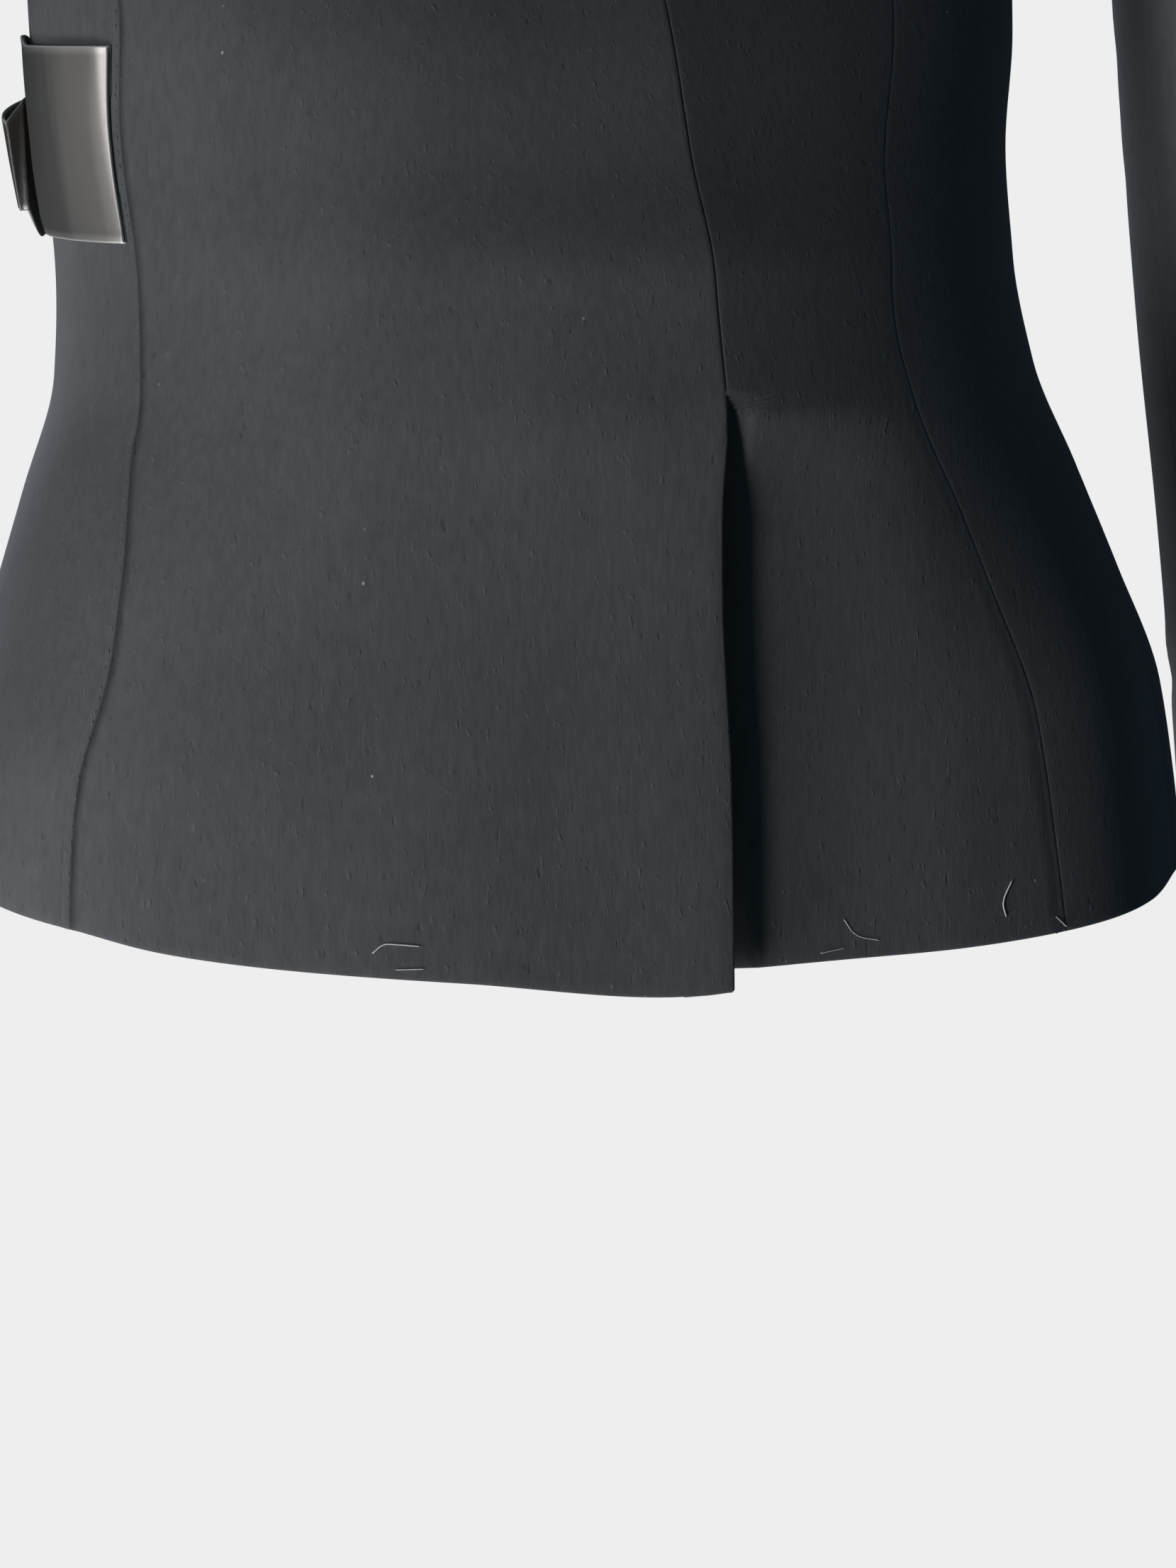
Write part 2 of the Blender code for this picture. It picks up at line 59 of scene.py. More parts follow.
# The body form: one row for each level section, from the neck down
Section = namedtuple("Section", "height half_width centre_y back_depth front_depth")
BODY = (
    Section(0.010, 0.072, 0.000, 0.054, 0.060),
    Section(0.000, 0.088, 0.000, 0.060, 0.064),
    Section(-0.013, 0.121, 0.000, 0.067, 0.068),
    Section(-0.027, 0.158, 0.000, 0.074, 0.072),
    Section(-0.040, 0.184, 0.000, 0.080, 0.077),
    Section(-0.060, 0.190, 0.000, 0.088, 0.085),
    Section(-0.100, 0.184, 0.000, 0.096, 0.099),
    Section(-0.150, 0.173, 0.000, 0.096, 0.115),
    Section(-0.200, 0.163, 0.000, 0.087, 0.127),
    Section(-0.250, 0.154, 0.001, 0.073, 0.128),
    Section(-0.290, 0.148, 0.003, 0.064, 0.119),
    Section(-0.315, 0.145, 0.004, 0.067, 0.114),
    Section(-0.345, 0.144, 0.003, 0.081, 0.109),
    Section(-0.375, 0.141, 0.000, 0.095, 0.103),
    Section(-0.405, 0.139, 0.004, 0.105, 0.107),
    Section(-0.435, 0.142, 0.012, 0.104, 0.117),
    Section(-0.465, 0.154, 0.022, 0.094, 0.130),
    Section(-0.495, 0.166, 0.031, 0.085, 0.142),
    Section(-0.530, 0.178, 0.040, 0.079, 0.154),
    Section(-0.565, 0.181, 0.047, 0.074, 0.163),
    Section(-0.605, 0.183, 0.053, 0.070, 0.171),
)

# Seams: how far round from the centre back each one runs, by height
SeamRow = namedtuple("SeamRow", "height angle")
SIDE_SEAM = (
    SeamRow(-0.215, 82.0),
    SeamRow(-0.270, 76.0),
    SeamRow(-0.335, 69.0),
    SeamRow(-0.371, 71.8),
    SeamRow(-0.410, 72.4),
    SeamRow(-0.446, 71.8),
    SeamRow(-0.463, 69.2),
    SeamRow(-0.482, 66.9),
    SeamRow(-0.512, 65.3),
    SeamRow(-0.545, 67.2),
    SeamRow(-0.568, 68.0),
    SeamRow(-0.600, 68.4),
)
PRINCESS_SEAM = (
    SeamRow(-0.124, 65.6),
    SeamRow(-0.150, 59.8),
    SeamRow(-0.200, 50.5),
    SeamRow(-0.260, 40.5),
    SeamRow(-0.310, 33.8),
    SeamRow(-0.345, 30.5),
    SeamRow(-0.384, 26.2),
    SeamRow(-0.420, 24.5),
    SeamRow(-0.440, 25.8),
    SeamRow(-0.470, 30.0),
    SeamRow(-0.492, 31.7),
    SeamRow(-0.547, 34.4),
    SeamRow(-0.600, 36.6),
)
EDGE_WRAP = (
    SeamRow(0.004, 92.0),
    SeamRow(-0.020, 104.0),
    SeamRow(-0.060, 122.0),
    SeamRow(-0.120, 143.0),
    SeamRow(-0.180, 161.0),
    SeamRow(-0.240, 180.0),
    SeamRow(-0.300, 198.0),
    SeamRow(-0.345, 208.0),
    SeamRow(-0.400, 211.0),
    SeamRow(-0.480, 208.0),
    SeamRow(-0.545, 204.0),
    SeamRow(-0.566, 200.0),
    SeamRow(-0.575, 194.0),
)
VENT_EDGE = (
    SeamRow(-0.440, 0.00),
    SeamRow(-0.466, 0.55),
    SeamRow(-0.500, 0.30),
    SeamRow(-0.530, 0.05),
    SeamRow(-0.600, 0.20),
)
ArmholeRow = namedtuple("ArmholeRow", "height back_angle front_angle")
ARMHOLE = (
    ArmholeRow(-0.036, 90.0, 90.0),
    ArmholeRow(-0.044, 80.0, 101.0),
    ArmholeRow(-0.060, 73.0, 109.0),
    ArmholeRow(-0.090, 68.0, 115.0),
    ArmholeRow(-0.120, 66.0, 118.0),
    ArmholeRow(-0.150, 66.5, 118.5),
    ArmholeRow(-0.178, 69.5, 115.0),
    ArmholeRow(-0.198, 73.5, 107.0),
    ArmholeRow(-0.210, 77.5, 96.0),
    ArmholeRow(-0.215, 82.0, 82.0),
)
SHOULDER_ANGLE = 90.0
NECK_TOP = 0.004

# Hem heights round each side, from the centre back
HemRow = namedtuple("HemRow", "angle height")
HEM_LEFT = (
    HemRow(-1.0, -0.5905),
    HemRow(3.0, -0.5910),
    HemRow(24.0, -0.5830),
    HemRow(54.0, -0.5730),
    HemRow(68.0, -0.5675),
    HemRow(90.0, -0.5640),
    HemRow(150.0, -0.5660),
    HemRow(215.0, -0.5740),
)
HEM_RIGHT = (
    HemRow(-16.0, -0.5830),
    HemRow(0.0, -0.5865),
    HemRow(27.0, -0.5880),
    HemRow(53.0, -0.5860),
    HemRow(66.0, -0.5830),
    HemRow(90.0, -0.5790),
    HemRow(150.0, -0.5740),
    HemRow(215.0, -0.5680),
)
HEM_LEVEL = -0.580
HEM_FADE = 0.120

# The centre back vent: the left panel laps over, the right one goes on beneath it
VENT_TOP = -0.440
VENT_OPEN = 0.030
VENT_STEP = 0.006
UNDERLAP_ANGLE = 14.0
UNDERLAP_DEPTH = 0.0025
UNDERLAP_RAMP = 2.0
VENT_SINK = 0.0042
VENT_SINK_FLAT = 7.5
VENT_SINK_ANGLE = 25.0
VENT_LIFT = 0.0015
VENT_LIFT_ANGLE = 16.0

# Right back and centre seam: the seam stands proud below the shoulder blades, the skirt is stretched flat
RIDGE = 0.0022
RIDGE_ANGLE = 18.0
RIDGE_TOP = -0.200
RIDGE_FADE = 0.080
SKIRT_PUSH = 0.0070
SKIRT_TOP = -0.455
SKIRT_FADE = 0.065
SKIRT_FLAT_START = 12.0
SKIRT_FLAT_PEAK = 42.0
SKIRT_FLAT_END = 67.0

# Under front: it lies inside the over front past this angle
UNDER_START = 130.0
UNDER_END = 146.0
UNDER_DEPTH = 0.0032
UNDER_CREASE_END = 138.0
UNDER_CREASE_FADE = 8.0

# Steps across a piece near its edge: past the edge line (negative is inside it) and off its face
Stop = namedtuple("Stop", "past out")
SEAM_ALLOWANCE = (
    Stop(-0.0095, -0.0034),
    Stop(-0.0050, -0.0031),
    Stop(-0.0014, -0.0027),
    Stop(-0.0002, -0.0020),
)
SEAM_INSIDES = (0.0, 0.00006, 0.0004, 0.0010, 0.0018, 0.0026)
FOLD_STEPS = 6

# The turning inside a folded edge, its depth in radii of the fold
FOLD_TURNING = (Stop(-0.0130, -2.2), Stop(-0.0060, -2.05), Stop(-0.0026, -2.0))

# How deep each seam lies, as a share of the cloth's full seam depth
CENTRE_SEAM = 0.60
PRINCESS_DEPTH = 0.25
FLAT_SEAM = 0.06
UNDERARM_SEAM = 0.25

# Rows of cells, closer where the form turns over the shoulder and round the vent's top
SHOULDER_TURN = -0.050
SHOULDER_CELL = 0.42
VENT_CELL = 0.4
VENT_CELLS_BELOW = 0.010
VENT_CELLS_ABOVE = 0.012
LAST_ROW_GAP = 0.0004

# Slow, slight unevenness of hand-sewn cloth: its size, and its waves a degree round and a metre up
UNEVEN = 0.0004
UNEVEN_ROUND = 0.035
UNEVEN_UP = 16.0
UNEVEN_SEED = 1.0

# Sleeve: ring centres down the arm, and the half sizes of each ring
ArmRing = namedtuple("ArmRing", "at out forward height across along")
ARM = (
    ArmRing(0, 0.2420, 0.000, -0.250, 0.0520, 0.0620),
    ArmRing(1, 0.2465, 0.002, -0.310, 0.0490, 0.0570),
    ArmRing(2, 0.2505, 0.003, -0.370, 0.0460, 0.0520),
    ArmRing(3, 0.2570, 0.008, -0.430, 0.0430, 0.0480),
    ArmRing(4, 0.2675, 0.016, -0.490, 0.0405, 0.0440),
    ArmRing(5, 0.2775, 0.025, -0.550, 0.0380, 0.0410),
    ArmRing(6, 0.2860, 0.033, -0.600, 0.0360, 0.0390),
)
ARM_LEAN = math.radians(7.0)
CAP_SHARE = 0.37
CAP_OUTWARD = 0.85
CAP_SLOPE = 0.35
ARMHOLE_GAP = 0.0004
ARMHOLE_CENTRE_IN = 0.02
ARMHOLE_CENTRE_HEIGHT = -0.125
SLEEVE_LENGTH = 0.60
SLEEVE_ROUND = 0.32
SLEEVE_CELLS = 84
SLEEVE_ROWS = 150
SLEEVE_ROWS_START = 0.0075
SLEEVE_ALLOWANCE = (0.0070, 0.0035, 0.0)
SLEEVE_ALLOWANCE_DEPTH = 0.0046
SLEEVE_INSIDES = (0.0, 0.0004, 0.0009, 0.0016, 0.0026)
SLEEVE_SEAM_INSIDES = (0.0004, 0.0009, 0.0015, 0.0023, 0.0034)
SLEEVE_SEAM_CLEAR = 0.0045
SLEEVE_SEAM_FADE = 0.010
SLEEVE_FADE_TOP = 0.040
SLEEVE_FADE_CUFF = 0.020
SLEEVE_UNEVEN = 0.0007
SLEEVE_UNEVEN_UP = 14.0

# Satin tie and bow, at the wearer's left front waist
TIE_HEIGHT = -0.371
TIE_WIDTH = 0.0508
TIE_LOWER = 0.0006
TIE_OFF = 0.0021
TIE_BULGE = 0.0005
TIE_LIFT = 0.0003
TIE_METRES = 0.0021
TIE_CELLS = 130
TIE_ROWS = 26

# How the tie lies from its side seam on. A RISE is from -1 at its lower edge to 1 at its upper one
TIE_START = 0.0004
TIE_TUCK = 0.0014
TIE_TUCK_RUN = 4.0
TIE_RAISE = 0.0024
TIE_RAISE_RISE = 0.55
TIE_RAISE_RUN = 6.0
TIE_RIM = 0.00035
TIE_RIM_WIDTH = 0.0011
TIE_FOOT = 0.0009
TIE_FOOT_RISE = 0.84
TIE_FOOT_START = 26.0
TIE_FOOT_RUN = 22.0
TIE_PLEAT = 0.0011
TIE_PLEAT_TURNS = 9.0
TIE_RIPPLE_START = 0.004
TIE_PINCH = 0.46
TIE_GATHER_ANGLE = 24.0
TIE_GATHER_RUN = 22.0
TIE_FREE_RUN = 12.0
TIE_TURN = 97.0

# The short stretch in front, the knot, the loops and the two ends
TIE_FRONT_WIDTH = 0.6 * TIE_WIDTH
TIE_FRONT_CELLS = 14
TIE_FRONT_ROWS = 10
TIE_FRONT_START = 0.0003
TIE_FRONT_PINCH = 0.70
TIE_FRONT_LIFT = 0.0030
KNOT_ANGLE = 140.0
KNOT_OUT = 0.0115
KNOT_SIZE = Vector((0.026, 0.019, 0.034))
KNOT_CUTS = 23
KNOT_ROUNDNESS = 5.0
KNOT_WAIST = 0.10
KNOT_FRONT = 0.92
KNOT_FOLD = 0.0006
KNOT_FOLD_TURNS = 1150.0
KNOT_FOLD_LEAN = 60.0
BOW_GAP = 0.0005
LOOP_CELLS = 120
LOOP_ROWS = 16
LOOP_PUCKER = 0.0006
LOOP_PUCKER_TURNS = 8.0
LOOP_PUCKER_RUN = 0.030
LOOP_HANG_RUN = 0.018
LOOP_HANG_START = 0.020
LOOP_WIDTH = 0.0294
LOOP_ROUND = 0.0003
LOOP_PINCH = 0.75
LOOP_DROOP = 0.0065
LOOP_SLOPE = 0.0046
LOOP_SAG = 0.0150
TAIL_CELLS = 70
TAIL_ROWS = 14
TAIL_CUP = 0.0010
TAIL_PLEAT = 0.0006
TAIL_PLEAT_TURNS = 11.0
TAIL_LENGTH = 0.150
TAIL_WIDTH = 0.044
TAIL_PINCH = 0.30
TAIL_FLARE = 2.2
TAIL_SLANT = 0.020
TAIL_LEAN = 0.020
TAIL_OFF_UNDER = 0.0038
TAIL_OFF_OVER = 0.0082

# Unevenness of the stretched tie: its size, and its waves along, aslant and across
Ripple = namedtuple("Ripple", "size along slant across seed")
TIE_RIPPLES = (
    Ripple(0.00022, 95.0, 0.45, 0.7, 7.0),
    Ripple(0.00006, 240.0, 0.90, 1.0, 3.0),
)

# The loops' outline seen from above: how far from the knot and off the cloth, at the lower and upper edge
LoopCorner = namedtuple("LoopCorner", "low_along low_off high_along high_off")
LOOP_PATH = (
    LoopCorner(0.0135, 0.0085, 0.0135, 0.0085),
    LoopCorner(0.0300, 0.0062, 0.0300, 0.0056),
    LoopCorner(0.0550, 0.0066, 0.0550, 0.0052),
    LoopCorner(0.0690, 0.0070, 0.0690, 0.0048),
    LoopCorner(0.0698, 0.0100, 0.0692, 0.0054),
    LoopCorner(0.0705, 0.0107, 0.0762, 0.0124),
    LoopCorner(0.0560, 0.0122, 0.0560, 0.0146),
    LoopCorner(0.0300, 0.0150, 0.0300, 0.0165),
    LoopCorner(0.0135, 0.0139, 0.0135, 0.0139),
)
LOOP_INNER_TIP = LOOP_PATH[3]
LOOP_OUTER_TIP = LOOP_PATH[5]

# Soft creases: where each one's middle is, how it runs, and how wide and deep it is
Crease = namedtuple("Crease", "across height tilt length width depth")
CREASE_REACH = 1.6
CREASE_BEND = 0.15
CREASE_BANK = 0.45
CREASE_BANK_OFF = 1.7
FRONT_METRES = 0.0022
UNDER_CREASES = (
    Crease(128.0, -0.352, 24.0, 0.050, 0.0060, -0.0016),
    Crease(124.0, -0.378, 4.0, 0.060, 0.0065, -0.0014),
    Crease(127.0, -0.408, -22.0, 0.055, 0.0060, -0.0015),
)
OVER_CREASES = (
    Crease(168.0, -0.340, -28.0, 0.080, 0.0080, -0.0018),
    Crease(172.0, -0.372, -8.0, 0.090, 0.0075, -0.0020),
    Crease(168.0, -0.408, 16.0, 0.080, 0.0080, -0.0017),
    Crease(196.0, -0.352, -14.0, 0.090, 0.0090, -0.0012),
    Crease(205.0, -0.400, 8.0, 0.080, 0.0080, -0.0012),
)
SLEEVE_CREASES = (
    Crease(0.29, -0.285, 26.0, 0.044, 0.0060, -0.0020),
    Crease(0.27, -0.318, 12.0, 0.048, 0.0055, -0.0023),
    Crease(0.28, -0.345, -3.0, 0.050, 0.0060, -0.0020),
    Crease(0.30, -0.374, -20.0, 0.044, 0.0055, -0.0018),
    Crease(0.80, -0.300, -20.0, 0.045, 0.0065, -0.0010),
    Crease(0.82, -0.346, 12.0, 0.050, 0.0060, -0.0010),
    Crease(0.22, -0.505, 22.0, 0.048, 0.0060, -0.0012),
    Crease(0.35, -0.545, -12.0, 0.050, 0.0060, -0.0012),
    Crease(0.86, -0.190, -50.0, 0.050, 0.0080, -0.0010),
    Crease(0.16, -0.180, 52.0, 0.052, 0.0080, -0.0012),
)

# Columns of a closed piece that meet nearer than this are joined
WELD = 0.000002

# Folded satin edges: the width of their painted highlight and wear, and the steps of the fold's half round
EDGE_HIGHLIGHT_WIDTH = 0.0005
RIBBON_FOLD_STEPS = 4

# Prick stitches beside the left side seam
STITCH_LOW = -0.560
STITCH_HIGH = -0.222
STITCH_STEP = 0.0041
STITCH_LENGTH = 0.0011
STITCH_BESIDE = 0.0013
STITCH_ROUND = 0.00011
STITCH_OFF = 0.00018
STITCH_SINK = 0.00010
STITCH_STRAY = 0.30

# Fluff near the hem: side, thickness, and its run as angles and heights
HAIR_OFF = 0.00022
Hair = namedtuple("Hair", "side round places")
HAIRS = (
    Hair(-1.0, 0.00022, ((29.00, -0.5708), (27.90, -0.5764), (28.15, -0.5807))),
    Hair(-1.0, 0.00018, ((34.20, -0.5829), (35.60, -0.5863))),
    Hair(1.0, 0.00020, ((32.25, -0.5737), (31.20, -0.5716), (29.95, -0.5717), (27.82, -0.5725))),
    Hair(1.0, 0.00015, ((30.11, -0.5782), (27.45, -0.5784))),
    Hair(-1.0, 0.00013, ((11.67, -0.5761), (12.88, -0.5808), (15.17, -0.5830))),
    Hair(-1.0, 0.00012, ((9.31, -0.5847), (11.76, -0.5840))),
)

# Noise in the materials: how far it is squeezed along Z, then the texture's own values
Grain = namedtuple("Grain", "upright scale detail rough shift")
STREAK = Grain(0.12, 1300.0, 2.0, 0.6, 0.0)
SLUB = Grain(0.34, 460.0, 2.0, 0.5, 0.0)
CLOUD = Grain(0.5, 26.0, 2.0, 0.5, 0.0)
PEBBLE = Grain(0.50, 620.0, 1.0, 0.5, 0.0)
PIT = Grain(0.42, 540.0, 1.0, 0.5, 4.0)
TUFT = Grain(1.0, 42.0, 1.0, 0.5, 0.0)
SATIN_THREAD = Grain(6.0, 700.0, 2.0, 0.5, 0.0)
SATIN_WAVE = Grain(0.3, 60.0, 2.0, 0.5, 0.0)
STITCH_GRAIN = Grain(1.0, 2200.0, 2.0, 0.5, 0.0)
HAIR_GRAIN = Grain(1.0, 900.0, 2.0, 0.5, 0.0)
Flecks = namedtuple("Flecks", "upright scale size least")
LINT = Flecks(0.7, 105.0, 0.034, 0.62)
FLUFF = Flecks(0.7, 430.0, 0.20, 0.45)
FLUFF_TOP = -0.5780
FLUFF_FULL = -0.5900
CREPE_RELIEF = 0.00017
SATIN_RELIEF = 0.0004
LINT_COLOUR = (0.42, 0.42, 0.43, 1.0)
FLUFF_COLOUR = (0.34, 0.34, 0.35, 1.0)
SHEEN_COLOUR = (0.80, 0.86, 1.0, 1.0)
GLINT_COLOUR = (0.30, 0.30, 0.31, 1.0)

# Studio: a round floor that curves up into a wall, and the colour of the light from all round
FLOOR_START = 0.001
FLOOR_WELD = 0.0005
COVE = 2.0
COVE_STEPS = 12
WALL_HEIGHT = 14.0
STUDIO_STEPS = 64
FILL_COLOUR = (0.62, 0.98, 1.22, 1.0)

# Camera, as the photo was taken
CAMERA_AZIMUTH = 155.0
CAMERA_ELEVATION = 11.0
CAMERA_DISTANCE = 1.16
CAMERA_LOOK_HEIGHT = -0.557
CAMERA_ASIDE = 0.0139
SENSOR_HEIGHT = 36.0
CAMERA_LENS = 92.14

# Lights: where round the jacket each stands, in degrees from the wearer's left towards the back
Lamp = namedtuple("Lamp", "name bearing rise distance width height power spread matt shine shadow aim")
MIDDLE = (0.0, 0.0, -0.45)
LAMPS = (
    Lamp("key", 30.0, 0.0, 2.3, 0.4, 1.0, 26.8, 180.0, True, True, True, MIDDLE),
    Lamp("low", 25.0, -32.0, 1.05, 0.4, 0.4, 7.0, 180.0, True, True, True, MIDDLE),
    Lamp("rim", -27.0, -10.0, 2.3, 0.8, 1.2, 45.0, 180.0, True, False, True, MIDDLE),
    Lamp("gloss", -9.0, -3.0, 2.3, 0.6, 1.4, 17.0, 180.0, False, True, False, MIDDLE),
    Lamp("sleeve", 55.0, 4.0, 2.3, 0.06, 0.16, 0.06, 3.0, True, True, True, (-0.255, 0.002, -0.340)),
)


class JacketCloth(bpy.types.PropertyGroup):
    """Sizes and colours of the crepe."""

    wall: FloatProperty(name="Wall", description="Thickness of the crepe", default=0.0006, unit="LENGTH")
    seam_depth: FloatProperty(
        name="Seam depth", description="How far the cloth rolls down into a seam", default=0.0013,
        unit="LENGTH",
    )
    seam_roll: FloatProperty(
        name="Seam roll", description="Width of cloth that rolls into a seam", default=0.0008, unit="LENGTH"
    )
    fold_radius: FloatProperty(
        name="Fold radius", description="Roundness of a turned edge", default=0.0010, unit="LENGTH"
    )
    cell: FloatProperty(name="Cell", description="Size of the mesh's cells", default=0.0032, unit="LENGTH")
    dark: FloatVectorProperty(
        name="Dark yarn", description="Crepe between its slubs", subtype="COLOR", size=4,
        default=(0.037, 0.038, 0.041, 1.0),
    )
    light: FloatVectorProperty(
        name="Light yarn", description="Crepe on its slubs", subtype="COLOR", size=4,
        default=(0.077, 0.078, 0.081, 1.0),
    )


class JacketSatin(bpy.types.PropertyGroup):
    """Sizes and colours of the satin tie and bow."""

    wall: FloatProperty(name="Wall", description="Thickness of the satin", default=0.0005, unit="LENGTH")
    fold_radius: FloatProperty(
        name="Fold radius", description="Roundness of a folded satin edge", default=0.0006, unit="LENGTH"
    )
    colour: FloatVectorProperty(
        name="Satin", description="Colour of the satin", subtype="COLOR", size=4,
        default=(0.24, 0.232, 0.224, 1.0),
    )
    # Pale satin along the folded edges: painted highlight, with some wear
    worn: FloatVectorProperty(
        name="Folded edge", description="Satin along its folded edges", subtype="COLOR", size=4,
        default=(0.62, 0.61, 0.60, 1.0),
    )


class JacketStudio(bpy.types.PropertyGroup):
    """The pale studio round the jacket."""

    radius: FloatProperty(
        name="Radius", description="Radius of the round studio floor", default=12.0, unit="LENGTH"
    )
    floor: FloatProperty(
        name="Floor", description="Height of the studio floor", default=-1.05, unit="LENGTH"
    )
    pale: FloatVectorProperty(
        name="Backdrop", description="Colour of floor and backdrop", subtype="COLOR", size=4,
        default=(0.855, 0.855, 0.855, 1.0),
    )
    fill: FloatProperty(name="Fill", description="Strength of the light from all round", default=0.072)


def clamp(value, low=0.0, high=1.0):
    return max(low, min(high, value))


def blend(low, high, share):
    return low + (high - low) * share


def ease(share):
    """A soft step from 0 to 1."""
    share = clamp(share)
    return share * share * (3.0 - 2.0 * share)


def smooth_curve(xs, ys, x):
    """A smooth curve through the points that never overshoots them. xs grow."""
    x = clamp(x, xs[0], xs[-1])
    k = 0
    while k < len(xs) - 2 and x > xs[k + 1]:
        k += 1
    rises = [(ys[i + 1] - ys[i]) / (xs[i + 1] - xs[i]) for i in range(len(xs) - 1)]

    def slope(i):
        if i == 0:
            return rises[0]
        if i == len(xs) - 1:
            return rises[-1]
        before, after = rises[i - 1], rises[i]
        if before * after <= 0.0:
            return 0.0
        return 2.0 * before * after / (before + after)

    width = xs[k + 1] - xs[k]
    s = (x - xs[k]) / width
    return (
        ys[k] * (1 + 2 * s) * (1 - s) ** 2
        + slope(k) * width * s * (1 - s) ** 2
        + ys[k + 1] * s * s * (3 - 2 * s)
        + slope(k + 1) * width * s * s * (s - 1)
    )


class Track:
    """One column of a table as a smooth curve, sampled once so that it reads quickly."""

    STEPS = 1500

    def __init__(self, table, key, column):
        rows = sorted(table, key=lambda row: getattr(row, key))
        xs = [getattr(row, key) for row in rows]
        ys = [getattr(row, column) for row in rows]
        self.low = xs[0]
        self.span = xs[-1] - xs[0]
        self.values = [
            smooth_curve(xs, ys, self.low + self.span * k / self.STEPS) for k in range(self.STEPS + 1)
        ]

    def __call__(self, x):
        at = clamp((x - self.low) / self.span) * self.STEPS
        k = min(int(at), self.STEPS - 1)
        return blend(self.values[k], self.values[k + 1], at - k)


def tracks(table):
    """A curve for each column of a table, over its first column."""
    key, *columns = table[0]._fields
    return [Track(table, key, column) for column in columns]


HALF_WIDTH, CENTRE_Y, BACK_DEPTH, FRONT_DEPTH = tracks(BODY)
SIDE, PRINCESS, WRAP, VENT, HEM_OF_LEFT, HEM_OF_RIGHT = (
    tracks(table)[0] for table in (SIDE_SEAM, PRINCESS_SEAM, EDGE_WRAP, VENT_EDGE, HEM_LEFT, HEM_RIGHT)
)
ARMHOLE_BACK, ARMHOLE_FRONT = tracks(ARMHOLE)
ARM_TRACKS = tracks(ARM)


def body_point(angle, height):
    """The outer face of the cloth round the body."""
    turn = math.radians(angle)
    across, deep = math.sin(turn), math.cos(turn)
    depth = BACK_DEPTH(height) if deep > 0.0 else FRONT_DEPTH(height)
    return Vector((HALF_WIDTH(height) * across, CENTRE_Y(height) + depth * deep, height))


def body_frame(angle, height):
    """The ways round and up along the cloth, and outward from it."""
    step_angle, step_height = 0.5, 0.002
    round_way = body_point(angle + step_angle, height) - body_point(angle - step_angle, height)
    up_way = body_point(angle, height + step_height) - body_point(angle, height - step_height)
    return round_way.normalized(), up_way.normalized(), up_way.cross(round_way).normalized()


def off_body(angle, height, out):
    return body_point(angle, height) + body_frame(angle, height)[2] * out


def on_side(point, side):
    """A point of the wearer's left (1) or its mirror image on the right (-1)."""
    return Vector((side * point.x, point.y, point.z))


def angle_of(length, angle, height):
    """How many degrees round the body a short length takes up."""
    step = 0.5
    return length * step / (body_point(angle + step, height) - body_point(angle, height)).length


def side_edge(height, armhole):
    """The outer edge of a back or front panel: side seam, then armhole, then shoulder seam."""
    if height < ARMHOLE[-1].height:
        return SIDE(height)
    if height < ARMHOLE[0].height:
        return armhole(height)
    return SHOULDER_ANGLE


def crease_depth(creases, across, height, metres_of_across):
    """How far the creases move the cloth at one place. Each fades along its run and to its sides."""
    total = 0.0
    for crease in creases:
        along = (across - crease.across) * metres_of_across
        up = height - crease.height
        if abs(along) + abs(up) > crease.length * CREASE_REACH:
            continue
        turn = math.radians(crease.tilt)
        run = along * math.cos(turn) + up * math.sin(turn)
        beside = -along * math.sin(turn) + up * math.cos(turn)
        beside += CREASE_BEND * crease.length * (run / crease.length) ** 2
        fade = ease(1.0 - abs(run) / crease.length)
        near = beside / crease.width
        bank = CREASE_BANK * math.exp(-((near - CREASE_BANK_OFF) ** 2))
        total += crease.depth * fade * (math.exp(-near * near) - bank)
    return total


def seam_stops(cloth, share):
    """Cloth that rolls down into a seam, with its allowance turned back beneath it."""
    rolled = []
    for inside in SEAM_INSIDES:
        left = max(0.0, 1.0 - inside / cloth.seam_roll)
        rolled.append(Stop(-inside, -cloth.seam_depth * share * left * left))
    return list(SEAM_ALLOWANCE) + rolled


def fold_stops(radius, steps=FOLD_STEPS):
    """Cloth turned over at a free edge: a half round, then the turning inside it."""
    turned = [Stop(stop.past, stop.out * radius) for stop in FOLD_TURNING]
    rounded = []
    for k in range(steps, -1, -1):
        turn = math.pi * k / steps
        rounded.append(Stop(radius * (math.sin(turn) - 1.0), -radius * (1.0 - math.cos(turn))))
    return turned + rounded


def mix_stops(first, second, share):
    return [Stop(blend(a.past, b.past, share), blend(a.out, b.out, share)) for a, b in zip(first, second)]


def new_sheet(name, columns, rows, place, wall, material, nodes, closed=False, folded=None):
    """A cloth piece from a grid: place(column, row) gives each corner on its outer face, and
    folded(column, row) says how far a corner is part of a folded edge, for the material."""
    grid = bmesh.new()
    bmesh.ops.create_grid(grid, x_segments=columns, y_segments=rows, size=0.5)
    # The fold share sets where the satin's painted edge highlight goes
    fold = grid.verts.layers.float.new("fold") if folded else None
    for vert in grid.verts:
        column = round((vert.co.x + 0.5) * columns)
        row = round((vert.co.y + 0.5) * rows)
        vert.co = place(column, row)
        if folded:
            vert[fold] = folded(column, row)
    if closed:
        bmesh.ops.remove_doubles(grid, verts=grid.verts, dist=WELD)
    return finish_piece(name, grid, wall, material, nodes)


def new_object(name, data):
    made = bpy.data.objects.new(name, data)
    bpy.context.scene.collection.objects.link(made)
    return made


def finish_mesh(name, build, material):
    """A smooth mesh of one material, from the bmesh that built it."""
    mesh = bpy.data.meshes.new(name)
    build.to_mesh(mesh)
    build.free()
    mesh.shade_smooth()
    mesh.materials.append(material)
    return mesh


